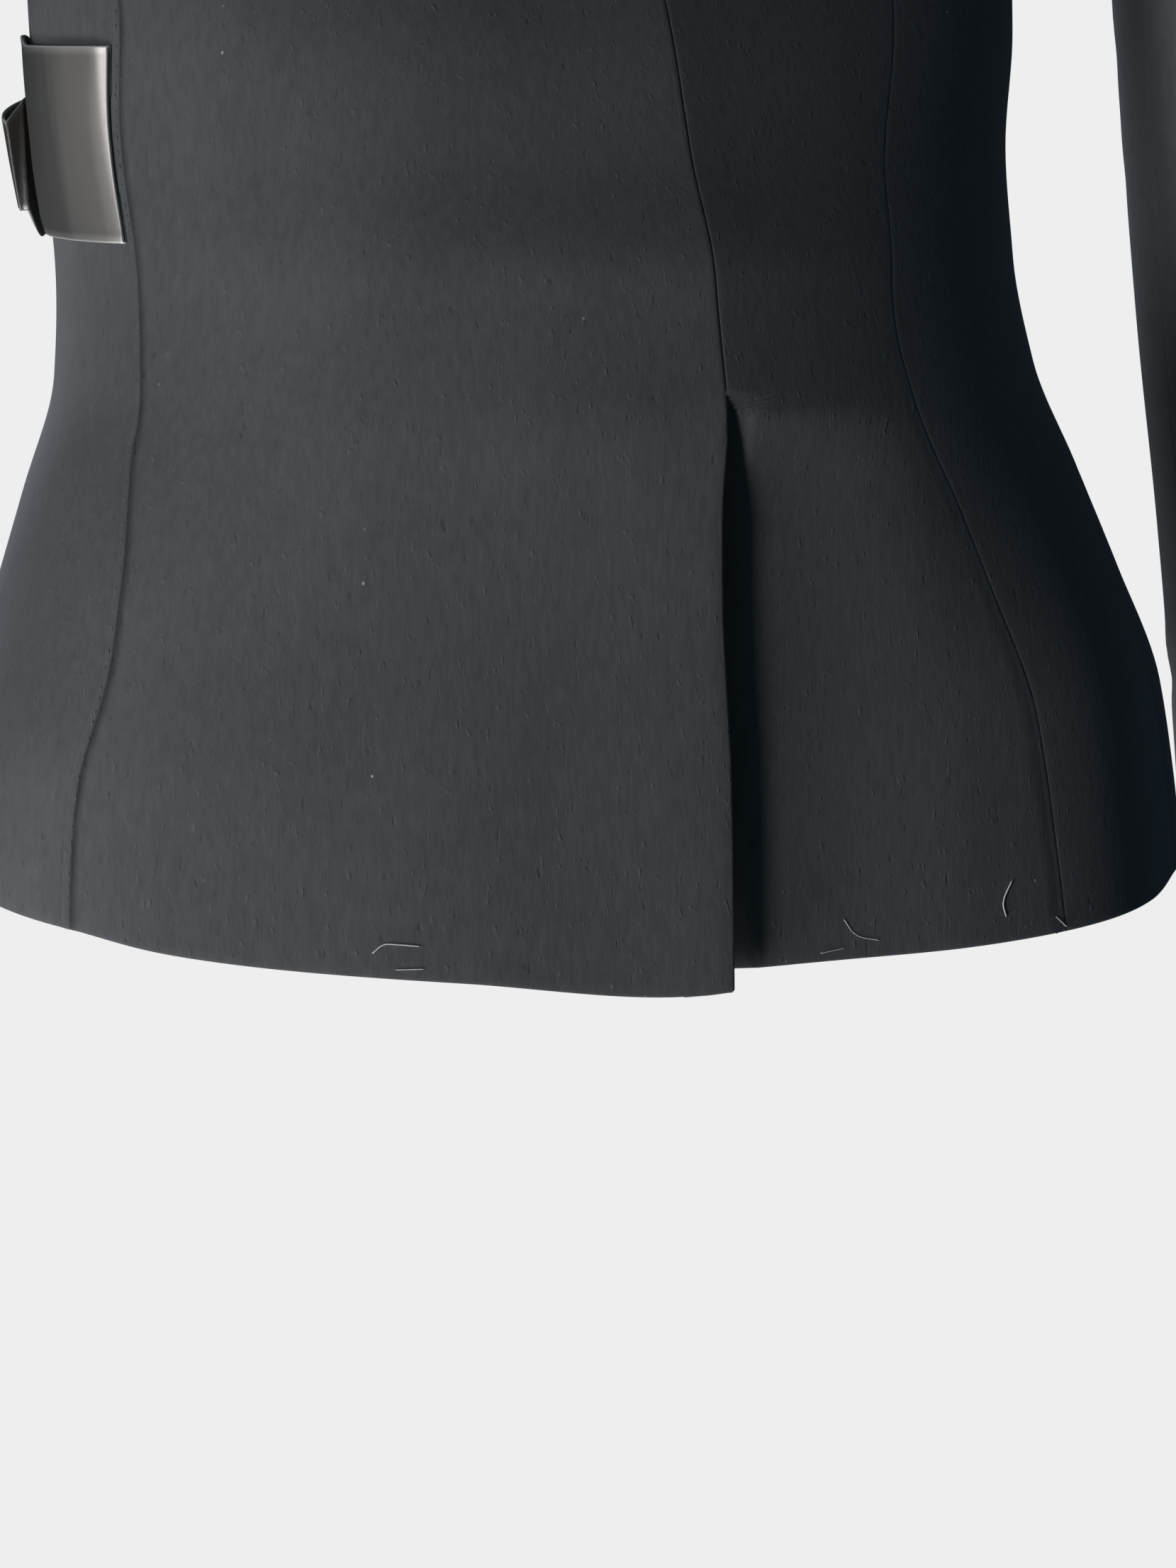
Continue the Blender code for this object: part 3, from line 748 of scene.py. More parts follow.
def finish_piece(name, build, wall, material, nodes):
    """Links a piece, gives it its wall and finish, sets it on its body and hides the CAD nodes it stands in
    for.
    """
    piece = new_object(name + "_sewn", finish_mesh(name, build, material))
    if wall:
        thick = piece.modifiers.new("Wall", "SOLIDIFY")
        thick.thickness = wall
        thick.offset = -1.0
    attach(piece, "root")
    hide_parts(*nodes)
    return piece


def panel_heights(cloth, top):
    """Heights of a panel's rows: finer where the form turns over the shoulder and round the vent's top."""
    heights = []
    height = HEM_LEVEL
    while height < top - LAST_ROW_GAP:
        heights.append(height)
        step = cloth.cell
        if height > SHOULDER_TURN:
            step *= SHOULDER_CELL
        elif VENT_TOP - VENT_CELLS_BELOW < height < VENT_TOP + VENT_CELLS_ABOVE:
            step *= VENT_CELL
        height += step
    heights.append(top)
    return heights


def new_panel(name, cloth, edges, stops, hem, lift, cells, side=1.0, top=NECK_TOP, top_turned=True):
    """A body panel. edges(height) gives its bounding angles, stops(height) its two edges' profiles,
    and lift(angle, height) how far it stands off the form."""
    heights = panel_heights(cloth, top)
    turned = fold_stops(cloth.fold_radius)
    rows = [(HEM_LEVEL, stop.past, stop.out) for stop in turned]
    rows += [(height, 0.0, 0.0) for height in heights[1:-1]]
    if top_turned:
        rows += [(top, stop.past, stop.out) for stop in reversed(turned)]
    else:
        rows += [(top, 0.0, 0.0)]
    hem_rows = len(turned)
    edge_count = len(stops(HEM_LEVEL)[0])
    columns = 2 * edge_count + cells - 1

    def place(column, row):
        height, past_row, out_row = rows[row]
        first, second = edges(height)
        first_stops, second_stops = stops(height)
        middle = (first + second) / 2
        width = (second - first) / angle_of(1.0, middle, height)
        inner = -(first_stops[-1].past + second_stops[-1].past)
        tight = min(1.0, 0.9 * width / max(inner, 1e-6))
        low = first - angle_of(first_stops[-1].past * tight, first, height)
        high = second + angle_of(second_stops[-1].past * tight, second, height)
        out = 0.0
        if column < edge_count:
            stop = first_stops[column]
            angle = first - angle_of(stop.past * tight, first, height)
            out = stop.out
        elif column > columns - edge_count:
            stop = second_stops[columns - column]
            angle = second + angle_of(stop.past * tight, second, height)
            out = stop.out
        else:
            angle = blend(low, high, (column - edge_count + 1) / cells)
        drop = (hem(angle) - HEM_LEVEL) * ease(1.0 - (height - HEM_LEVEL) / HEM_FADE)
        level = height + drop
        level += -past_row if row < hem_rows else past_row * (row >= len(rows) - hem_rows)
        out += out_row + lift(angle, height)
        return on_side(off_body(angle, level, out), side)

    def turn_over(column, row):
        return place(columns - column, row) if side > 0.0 else place(column, row)

    return new_sheet(
        name, columns, len(rows) - 1, turn_over, cloth.wall, crepe_material(cloth), [name]
    )


def uneven(angle, height):
    return noise.noise(Vector((angle * UNEVEN_ROUND, height * UNEVEN_UP, UNEVEN_SEED))) * UNEVEN


def past_vent(height):
    """0 above the vent, 1 from a step below its top."""
    return ease((VENT_TOP - height) / VENT_STEP)


def past_underlap(height):
    """0 above the underlap, 1 from the vent's top down."""
    return ease((VENT_TOP + VENT_STEP - height) / VENT_STEP)


def vent_opening(height):
    """0 above the vent, growing evenly to 1 a little way below its top."""
    share = clamp((VENT_TOP - height) / VENT_OPEN)
    return share * (1.5 - 0.5 * share * share)


def centre_ridge(angle, height):
    """The centre seam stands a little proud of the form below the shoulder blades."""
    beside = clamp(1.0 - abs(angle) / RIDGE_ANGLE)
    return RIDGE * beside * beside * ease((RIDGE_TOP - height) / RIDGE_FADE)


def right_back(angle, height):
    """How the right back stands off the form: sunk beside the vent, then stretched flat over the hip."""
    opening = vent_opening(height)
    near_centre = ease((VENT_SINK_ANGLE - angle) / (VENT_SINK_ANGLE - VENT_SINK_FLAT))
    flat = ease((angle - SKIRT_FLAT_START) / (SKIRT_FLAT_PEAK - SKIRT_FLAT_START))
    flat *= ease((SKIRT_FLAT_END - angle) / (SKIRT_FLAT_END - SKIRT_FLAT_PEAK))
    push = SKIRT_PUSH * flat * ease((SKIRT_TOP - height) / SKIRT_FADE)
    return centre_ridge(angle, height) * (1.0 - opening) - VENT_SINK * opening * near_centre + push


class Number:
    """A shader value: sums written with it add their Math nodes."""

    def __init__(self, graph, socket):
        self.graph = graph
        self.socket = socket

    def math(self, operation, first, second=None):
        values = {0: first} if second is None else {0: first, 1: second}
        node = self.graph.node("ShaderNodeMath", {"operation": operation}, values)
        return Number(self.graph, node.outputs[0])

    def __add__(self, other):
        return self.math("ADD", self, other)

    __radd__ = __add__

    def __sub__(self, other):
        return self.math("SUBTRACT", self, other)

    def __rsub__(self, other):
        return self.math("SUBTRACT", other, self)

    def __mul__(self, other):
        return self.math("MULTIPLY", self, other)

    __rmul__ = __mul__

    def below(self, other):
        return self.math("LESS_THAN", self, other)


class Graph:
    """A new material and its Principled shader."""

    def __init__(self, name, **constants):
        self.material = bpy.data.materials.new(name)
        self.material.use_nodes = True
        self.tree = self.material.node_tree
        self.shader = self.tree.nodes["Principled BSDF"]
        for socket, value in constants.items():
            self.shader.inputs[socket.replace("_", " ")].default_value = value

    def node(self, kind, settings, values):
        """A node of a kind, its settings set first, then the values or links of its inputs."""
        node = self.tree.nodes.new(kind)
        for key, value in settings.items():
            setattr(node, key, value)
        for key, value in values.items():
            socket = node.inputs[key]
            if isinstance(value, Number):
                self.tree.links.new(value.socket, socket)
            elif isinstance(value, bpy.types.NodeSocket):
                self.tree.links.new(value, socket)
            else:
                socket.default_value = value
        return node

    def out(self, kind, settings, values, output=0):
        return Number(self, self.node(kind, settings, values).outputs[output])

    def place(self, upright):
        """Object coordinates, squeezed along Z."""
        where = self.node("ShaderNodeTexCoord", {}, {}).outputs["Object"]
        scale = (1.0, 1.0, upright)
        return self.node("ShaderNodeMapping", {}, {"Vector": where, "Scale": scale}).outputs[0]

    def grain(self, grain):
        return self.out(
            "ShaderNodeTexNoise",
            {"noise_dimensions": "4D"},
            {
                "Vector": self.place(grain.upright),
                "W": grain.shift,
                "Scale": grain.scale,
                "Detail": grain.detail,
                "Roughness": grain.rough,
            },
        )

    def step(self, value, low, high):
        """A soft step from 0 at low to 1 at high."""
        return self.out(
            "ShaderNodeMapRange",
            {"interpolation_type": "SMOOTHSTEP"},
            {"Value": value, "From Min": low, "From Max": high, "To Min": 0.0, "To Max": 1.0},
        )

    def flecks(self, flecks):
        """Small specks, a few in each scale length, some fainter than others."""
        where = self.place(flecks.upright)
        cells = self.node("ShaderNodeTexVoronoi", {}, {"Vector": where, "Scale": flecks.scale})
        near = Number(self, cells.outputs["Distance"]).below(flecks.size)
        pick = self.out("ShaderNodeSeparateColor", {}, {0: cells.outputs["Color"]})
        return near * self.step(pick, flecks.least, 1.0)

    def mix(self, factor, first, second):
        node = self.node("ShaderNodeMix", {"data_type": "RGBA"}, {0: factor, 6: first, 7: second})
        return node.outputs[2]

    def feed(self, socket, value):
        value = value.socket if isinstance(value, Number) else value
        self.tree.links.new(value, self.shader.inputs[socket])

    def bump(self, height, distance, strength):
        node = self.node(
            "ShaderNodeBump", {}, {"Height": height, "Distance": distance, "Strength": strength}
        )
        self.feed("Normal", node.outputs[0])


def crepe_material(cloth):
    """Wool crepe: a fine upright grain with slubs, a little lint and a soft nap."""
    known = bpy.data.materials.get("Charcoal crepe")
    if known:
        return known
    graph = Graph(
        "Charcoal crepe", Roughness=0.88, Metallic=0.0, Sheen_Weight=0.12, Sheen_Roughness=0.45,
        Sheen_Tint=SHEEN_COLOUR, Specular_IOR_Level=0.25,
    )
    streak = graph.grain(STREAK)
    slub = graph.grain(SLUB)
    cloud = graph.grain(CLOUD)
    pebble = graph.step(graph.grain(PEBBLE), 0.63, 0.80)
    pit = graph.step(graph.grain(PIT), 0.65, 0.80)
    tone = 0.5 + (streak - 0.5) * 0.55 + (slub - 0.5) * 0.7 + (cloud - 0.5) * 0.6
    # Pits are painted darker as well as sunk in the relief: painted shade in the pits
    tone = tone + pebble * 0.20 - pit * 0.30
    fleck = graph.flecks(LINT)
    where = graph.node("ShaderNodeTexCoord", {}, {}).outputs["Object"]
    height = graph.out("ShaderNodeSeparateXYZ", {}, {0: where}, 2)
    tufts = graph.step(graph.grain(TUFT), 0.50, 0.60)
    fluff = graph.flecks(FLUFF) * graph.step(height, FLUFF_TOP, FLUFF_FULL) * tufts
    yarn = graph.mix(tone, tuple(cloth.dark), tuple(cloth.light))
    dusty = graph.mix(fluff * 0.30, yarn, FLUFF_COLOUR)
    graph.feed("Base Color", graph.mix(fleck * 0.9, dusty, LINT_COLOUR))
    relief = streak * 0.35 + slub * 0.60 + pebble * 0.80 - pit * 0.60 + fleck * 0.6 + fluff * 0.6
    graph.bump(relief, CREPE_RELIEF, 1.0)
    return graph.material


def satin_material(satin):
    """Satin: smooth, with a soft sheen, very faint threads across, and a painted highlight with some wear
    along its folded edges.
    """
    known = bpy.data.materials.get("Black satin")
    if known:
        return known
    graph = Graph("Black satin", Specular_Tint=GLINT_COLOUR)
    thread = graph.grain(SATIN_THREAD)
    wave = graph.grain(SATIN_WAVE)
    fold = graph.out("ShaderNodeAttribute", {"attribute_name": "fold"}, {}, 2)
    colour = tuple(satin.colour)
    deep = tuple(c * 0.82 for c in colour[:3]) + (1.0,)
    # Folded edges are paler and less metallic: a painted highlight where the rolled edges catch light, with
    # some wear
    graph.feed("Base Color", graph.mix(fold, graph.mix(wave, deep, colour), tuple(satin.worn)))
    graph.feed("Metallic", 1.0 - fold * 0.5)
    graph.feed("Roughness", 0.43 + thread * 0.08)
    graph.bump(thread * 0.3 + wave, SATIN_RELIEF, 0.20)
    return graph.material


def thread_material(name, rough, grain, dark, light):
    graph = Graph(name, Roughness=rough)
    graph.feed("Base Color", graph.mix(graph.grain(grain), dark, light))
    return graph.material


class JACKET_OT_back(bpy.types.Operator):
    """Builds the three back panels with the centre seam, the vent and the princess seam"""

    bl_idname = "jacket.back"
    bl_label = "Back panels"

    def execute(self, context):
        cloth = context.scene.jacket_cloth
        centre_seam = seam_stops(cloth, CENTRE_SEAM)
        princess = seam_stops(cloth, PRINCESS_DEPTH)
        flat_seam = seam_stops(cloth, FLAT_SEAM)
        fold = fold_stops(cloth.fold_radius)

        def left_edges(height):
            return VENT(height), side_edge(height, ARMHOLE_BACK)

        def left_stops(height):
            return mix_stops(centre_seam, fold, past_vent(height)), flat_seam

        def right_stops(height):
            outer_seam = princess if height < PRINCESS_SEAM[0].height else flat_seam
            return mix_stops(flat_seam, fold, past_vent(height)), outer_seam

        def left_lift(angle, height):
            lift = VENT_LIFT * vent_opening(height) * ease(1.0 - angle / VENT_LIFT_ANGLE)
            return lift + centre_ridge(angle, height) + uneven(angle, height)

        left = new_panel("back_left", cloth, left_edges, left_stops, HEM_OF_LEFT, left_lift, 52)

        def right_edges(height):
            seam_at = PRINCESS(height) if height < PRINCESS_SEAM[0].height else 360.0
            underlap = -UNDERLAP_ANGLE * past_underlap(height)
            return underlap, min(seam_at, side_edge(height, ARMHOLE_BACK))

        def right_lift(angle, height):
            under = UNDERLAP_DEPTH * past_underlap(height)
            beneath = under * ease(1.0 - (angle - 1.0) / UNDERLAP_RAMP)
            return uneven(angle, height) + right_back(angle, height) - beneath

        right = new_panel(
            "back_right", cloth, right_edges, right_stops, HEM_OF_RIGHT, right_lift, 34, side=-1.0
        )

        def outer_edges(height):
            return PRINCESS(height), side_edge(height, ARMHOLE_BACK)

        outer = new_panel(
            "back_right_side",
            cloth,
            outer_edges,
            lambda height: (flat_seam, flat_seam),
            HEM_OF_RIGHT,
            lambda angle, height: right_back(angle, height) + uneven(angle, height),
            24,
            side=-1.0,
            top=PRINCESS_SEAM[0].height,
            top_turned=False,
        )
        return {"FINISHED"}


class JACKET_OT_front(bpy.types.Operator):
    """Builds the two wrap fronts"""

    bl_idname = "jacket.front"
    bl_label = "Front panels"

    def execute(self, context):
        cloth = context.scene.jacket_cloth
        seam = seam_stops(cloth, FLAT_SEAM)
        fold = fold_stops(cloth.fold_radius)

        def edges(height):
            return side_edge(height, ARMHOLE_FRONT), WRAP(height)

        def under_lift(angle, height):
            dip = -UNDER_DEPTH * ease((angle - UNDER_START) / (UNDER_END - UNDER_START))
            soft = crease_depth(UNDER_CREASES, angle, height, FRONT_METRES)
            soft *= ease((UNDER_CREASE_END - angle) / UNDER_CREASE_FADE)
            return dip + soft + uneven(angle, height)

        def over_lift(angle, height):
            return crease_depth(OVER_CREASES, angle, height, FRONT_METRES) + uneven(angle, height)

        def stops(height):
            return seam, fold

        under = new_panel("front_left", cloth, edges, stops, HEM_OF_LEFT, under_lift, 64)
        over = new_panel("front_right", cloth, edges, stops, HEM_OF_RIGHT, over_lift, 64, side=-1.0)
        return {"FINISHED"}


def armhole_place(share):
    """Round the armhole: 0 at the shoulder, a quarter at the front, a half under the arm."""
    height = blend(ARMHOLE[-1].height, ARMHOLE[0].height, (1.0 + math.cos(share * math.tau)) / 2)
    return (ARMHOLE_FRONT if share < 0.5 else ARMHOLE_BACK)(height), height


def armhole_point(share):
    return body_point(*armhole_place(share))


def armhole_out(share):
    """The way off the body beside the armhole."""
    return body_frame(*armhole_place(share))[2]


def arm_ring_point(at, share):
    """A point of an oval ring square to the arm, on the same shares as the armhole."""
    out, forward, height, across, along = (track(at) for track in ARM_TRACKS)
    turn = share * math.tau
    lean = Vector((math.cos(ARM_LEAN), 0.0, math.sin(ARM_LEAN)))
    centre = Vector((out, -forward, height))
    return centre + lean * across * math.cos(turn) - Vector((0, 1, 0)) * along * math.sin(turn)


def hermite(start, start_way, end, end_way, s):
    return (
        start * ((1 + 2 * s) * (1 - s) ** 2)
        + start_way * (s * (1 - s) ** 2)
        + end * (s * s * (3 - 2 * s))
        + end_way * (s * s * (s - 1))
    )


def sleeve_form(share, v):
    """The smooth form of the sleeve: v is 0 at the armhole and 1 at the cuff."""
    share = share % 1.0
    if v >= CAP_SHARE:
        return arm_ring_point((v - CAP_SHARE) / (1.0 - CAP_SHARE) * (len(ARM) - 1), share)
    arm_way = Vector((-math.sin(ARM_LEAN), 0.0, math.cos(ARM_LEAN)))
    start = armhole_point(share) + Vector((ARMHOLE_GAP, 0.0, 0.0))
    end = arm_ring_point(0.0, share)
    span = (end - start).length
    fall = CAP_SLOPE * max(0.0, math.cos(share * math.tau))
    out_way = Vector((1.0, 0.0, -fall)) * span * CAP_OUTWARD
    return hermite(start, out_way, end, -arm_way * span, v / CAP_SHARE)


def sleeve_point(share, v, out):
    """A point off the sleeve's form."""
    here = sleeve_form(share, v)
    step = 0.004
    low, high = max(0.0, v - step), min(1.0, v + step)
    round_way = sleeve_form(share + step, v) - sleeve_form(share - step, v)
    down_way = sleeve_form(share, high) - sleeve_form(share, low)
    return here + round_way.cross(down_way).normalized() * out


def sleeve_shares():
    """Where the sleeve's columns run round it, close together beside the underarm seam."""
    beside = [0.5 + side * inside / SLEEVE_ROUND for side in (-1, 1) for inside in SLEEVE_SEAM_INSIDES]
    even = [k / SLEEVE_CELLS for k in range(SLEEVE_CELLS)]
    even = [share for share in even if abs(share - 0.5) * SLEEVE_ROUND > SLEEVE_SEAM_CLEAR]
    shares = sorted(beside + [0.5] + even)
    return shares + [shares[0] + 1.0]


def sleeve_levels(cloth):
    """The sleeve's rows from the armhole's allowance down to the turned cuff, each with its kind."""
    levels = [("allowance", inside) for inside in SLEEVE_ALLOWANCE]
    levels += [("body", inside / SLEEVE_LENGTH) for inside in SLEEVE_INSIDES]
    levels += [
        ("body", blend(SLEEVE_ROWS_START, 1.0 - SLEEVE_ROWS_START, k / SLEEVE_ROWS))
        for k in range(SLEEVE_ROWS + 1)
    ]
    return levels + [("cuff", stop) for stop in reversed(fold_stops(cloth.fold_radius))]


def sleeve_lift(share, v, seed, cloth):
    """How the cloth of the sleeve stands off its form: seams, creases and slight unevenness."""
    from_edge = v * SLEEVE_LENGTH
    roll = max(0.0, 1.0 - from_edge / cloth.seam_roll)
    beside = max(0.0, 1.0 - abs((share - 0.5) * SLEEVE_ROUND) / cloth.seam_roll)
    sunk = roll * roll + UNDERARM_SEAM * beside ** 2 * ease(from_edge / SLEEVE_SEAM_FADE)
    height = sleeve_form(share, v).z
    fade = ease(from_edge / SLEEVE_FADE_TOP) * ease((1.0 - v) * SLEEVE_LENGTH / SLEEVE_FADE_CUFF)
    turn = share * math.tau
    spot = Vector((math.cos(turn), math.sin(turn), height * SLEEVE_UNEVEN_UP + seed))
    soft = crease_depth(SLEEVE_CREASES, share % 1.0, height, SLEEVE_ROUND)
    return (soft + noise.noise(spot) * SLEEVE_UNEVEN) * fade - cloth.seam_depth * sunk


class JACKET_OT_sleeves(bpy.types.Operator):
    """Builds the two set-in sleeves with their underarm seams, elbow creases and turned cuffs"""

    bl_idname = "jacket.sleeves"
    bl_label = "Sleeves"

    def execute(self, context):
        cloth = context.scene.jacket_cloth
        self.build("sleeve_left", 1.0, 3.0, cloth)
        self.build("sleeve_right", -1.0, 11.0, cloth)
        return {"FINISHED"}

    def build(self, name, side, seed, cloth):
        shares = sleeve_shares()
        levels = sleeve_levels(cloth)
        centre = body_point(SHOULDER_ANGLE, ARMHOLE_CENTRE_HEIGHT) - Vector((ARMHOLE_CENTRE_IN, 0.0, 0.0))

        def place(column, row):
            share = shares[column if side > 0.0 else len(shares) - 1 - column]
            kind, value = levels[row]
            if kind == "allowance":
                edge = sleeve_form(share, 0.0)
                inward = (centre - edge).normalized()
                point = edge - inward * value - armhole_out(share) * SLEEVE_ALLOWANCE_DEPTH
            elif kind == "cuff":
                tip = sleeve_point(share, 1.0, value.out)
                way = (sleeve_form(share, 1.0) - sleeve_form(share, 0.99)).normalized()
                point = tip + way * value.past
            else:
                point = sleeve_point(share, value, sleeve_lift(share, value, seed, cloth))
            return on_side(point, side)

        sleeve = new_sheet(
            name, len(shares) - 1, len(levels) - 1, place, cloth.wall, crepe_material(cloth),
            [name], closed=True,
        )


def knot_frame():
    """Where the knot sits on the cloth, its way back round the body and its way outward."""
    up_way = Vector((0.0, 0.0, 1.0))
    out_way = body_frame(KNOT_ANGLE, TIE_HEIGHT)[2]
    back_way = up_way.cross(out_way).normalized()
    return body_point(KNOT_ANGLE, TIE_HEIGHT), back_way, back_way.cross(up_way).normalized()


def angle_beside_knot(along, height):
    """The angle round the body at a straight distance from the knot, positive towards the back."""
    seat, back_way, _ = knot_frame()
    angle = KNOT_ANGLE
    for _ in range(8):
        missing = along - (body_point(angle, height) - seat).dot(back_way)
        angle -= angle_of(1.0, angle, height) * missing
    return angle


def by_knot(along, up, off):
    """A point beside the knot: along and up from its middle, and off the cloth there."""
    _, _, out_way = knot_frame()
    height = TIE_HEIGHT + up
    return body_point(angle_beside_knot(along, height), height) + out_way * off


def rounded_path(corners, radius, count):
    """Evenly spaced points along straight runs whose corners are rounded."""
    dense = [corners[0]]
    for before, corner, after in zip(corners, corners[1:], corners[2:]):
        start = corner + (before - corner).normalized() * min(radius, (before - corner).length / 2)
        end = corner + (after - corner).normalized() * min(radius, (after - corner).length / 2)
        for k in range(9):
            s = k / 8
            dense.append(start * (1 - s) ** 2 + corner * (2 * s * (1 - s)) + end * s * s)
    dense.append(corners[-1])
    lengths = [0.0]
    for first, second in zip(dense, dense[1:]):
        lengths.append(lengths[-1] + (second - first).length)
    points = []
    k = 0
    for step in range(count + 1):
        at = lengths[-1] * step / count
        while k < len(dense) - 2 and at > lengths[k + 1]:
            k += 1
        span = max(lengths[k + 1] - lengths[k], 1e-9)
        points.append(dense[k].lerp(dense[k + 1], clamp((at - lengths[k]) / span)))
    return points


def edge_highlight_mask(rise, width):
    """1 on a ribbon's folded edge, fading within a millimetre of it: the mask of the painted edge
    highlight.
    """
    inside = max(0.0, (1.0 - abs(rise)) * width / 2)
    return math.exp(-((inside / EDGE_HIGHLIGHT_WIDTH) ** 2))


def edge_shares(width, radius, cells):
    """Positions across a ribbon with folded edges: (share from -1 to 1, off its face)."""
    stops = fold_stops(radius, RIBBON_FOLD_STEPS)
    lower = [(-1.0 - 2.0 * stop.past / width, stop.out) for stop in stops]
    inner = 1.0 + 2.0 * stops[-1].past / width
    middle = [(blend(-inner, inner, k / cells), 0.0) for k in range(1, cells)]
    upper = [(-share, out) for share, out in reversed(lower)]
    return lower + middle + upper


def new_ribbon(name, cells, across, width, place, satin, upright=False):
    """A satin piece: place(part, step) gives each corner, counted across it and along it."""

    def corner(column, row):
        step, part = (row, column) if upright else (column, row)
        return place(part, step)

    def folded(column, row):
        return edge_highlight_mask(across[column if upright else row][0], width)

    columns, rows = (len(across) - 1, cells) if upright else (cells, len(across) - 1)
    return new_sheet(
        name, columns, rows, corner, satin.wall, satin_material(satin), [name], folded=folded
    )


class JACKET_OT_tie(bpy.types.Operator):
    """Builds the satin tie from the left side seam to the knot, and its short stretch in front"""

    bl_idname = "jacket.tie"
    bl_label = "Satin tie"

    def execute(self, context):
        satin = context.scene.jacket_satin
        knot_side = KNOT_SIZE.x / 2 + BOW_GAP
        across = edge_shares(TIE_WIDTH, satin.fold_radius, TIE_ROWS)
        end = angle_beside_knot(knot_side, TIE_HEIGHT)

        def side_place(part, step):
            rise, out = across[part]
            u = step / TIE_CELLS
            level_angle = blend(end, SIDE(TIE_HEIGHT), u)
            gather = ease((level_angle - end + TIE_GATHER_ANGLE) / TIE_GATHER_RUN)
            past_side = level_angle - TIE_TURN
            raised = ease((rise - TIE_RAISE_RISE) / (1.0 - TIE_RAISE_RISE)) * (1.0 - gather)
            raised *= TIE_RAISE * ease(past_side / TIE_RAISE_RUN)
            spread = rise * TIE_WIDTH / 2 * blend(1.0, TIE_PINCH, gather)
            height = TIE_HEIGHT - TIE_LOWER + spread + raised
            seam = SIDE(height)
            start = seam + angle_of(TIE_START, seam, height)
            angle = blend(end, start, u)
            crown = TIE_BULGE * (1.0 - rise * rise)
            free = ease((angle - start) / TIE_FREE_RUN)
            pleats = TIE_PLEAT * gather * math.cos(rise * TIE_PLEAT_TURNS) * free
            run = (angle - start) * TIE_METRES
            soft = 0.0
            for ripple in TIE_RIPPLES:
                spot = Vector((run * ripple.along - rise * ripple.slant, rise * ripple.across, ripple.seed))
                soft += ripple.size * noise.noise(spot)
            soft *= ease(run / TIE_RIPPLE_START)
            tuck = -TIE_TUCK * clamp(1.0 - (angle - start) / TIE_TUCK_RUN) ** 2
            near_edge = (1.0 - abs(rise)) * TIE_WIDTH / 2
            rim = TIE_RIM * math.exp(-((near_edge / TIE_RIM_WIDTH) ** 2))
            foot = -TIE_FOOT * ease((-rise - TIE_FOOT_RISE) / (1.0 - TIE_FOOT_RISE))
            foot *= ease((past_side + TIE_FOOT_START) / TIE_FOOT_RUN)
            lift = (crown + TIE_LIFT) * free + pleats + soft + tuck + rim + foot
            return off_body(angle, height, TIE_OFF + lift + out)

        side = new_ribbon("tie_side", TIE_CELLS, across, TIE_WIDTH, side_place, satin)
        short = edge_shares(TIE_FRONT_WIDTH, satin.fold_radius, TIE_FRONT_ROWS)

        def front_place(part, step):
            rise, out = short[part]
            u = step / TIE_FRONT_CELLS
            height = TIE_HEIGHT + rise * TIE_WIDTH / 2 * blend(TIE_PINCH, TIE_FRONT_PINCH, u)
            edge = 360.0 - WRAP(height)
            edge -= angle_of(TIE_FRONT_START, edge, height)
            near = angle_beside_knot(-knot_side, height)
            return off_body(blend(edge, near, u), height, TIE_FRONT_LIFT * ease(u) + out)

        front = new_ribbon("tie_front", TIE_FRONT_CELLS, short, TIE_FRONT_WIDTH, front_place, satin)
        return {"FINISHED"}


def soft_run(points, count):
    """A smooth run through a few points."""
    ways = [points[min(k + 1, len(points) - 1)] - points[max(k - 1, 0)] for k in range(len(points))]
    run = []
    for k in range(len(points) - 1):
        span = (points[k + 1] - points[k]).length
        first, second = ways[k].normalized() * span, ways[k + 1].normalized() * span
        for step in range(count):
            run.append(hermite(points[k], first, points[k + 1], second, step / count))
    run.append(points[-1])
    return run


def add_thread(build, points, radius, sides):
    """A thin closed tube along points, tapered to its two ends."""
    rings = []
    for k, point in enumerate(points):
        way = (points[min(k + 1, len(points) - 1)] - points[max(k - 1, 0)]).normalized()
        aside = way.orthogonal().normalized()
        over = way.cross(aside)
        size = radius * (0.45 if k in (0, len(points) - 1) else 1.0)
        ring = []
        for side in range(sides):
            turn = math.tau * side / sides
            ring.append(build.verts.new(point + (aside * math.cos(turn) + over * math.sin(turn)) * size))
        rings.append(ring)
    for lower, upper in zip(rings, rings[1:]):
        for k in range(sides):
            nxt = (k + 1) % sides
            build.faces.new((lower[k], lower[nxt], upper[nxt], upper[k]))
    build.faces.new(list(reversed(rings[0])))
    build.faces.new(rings[-1])


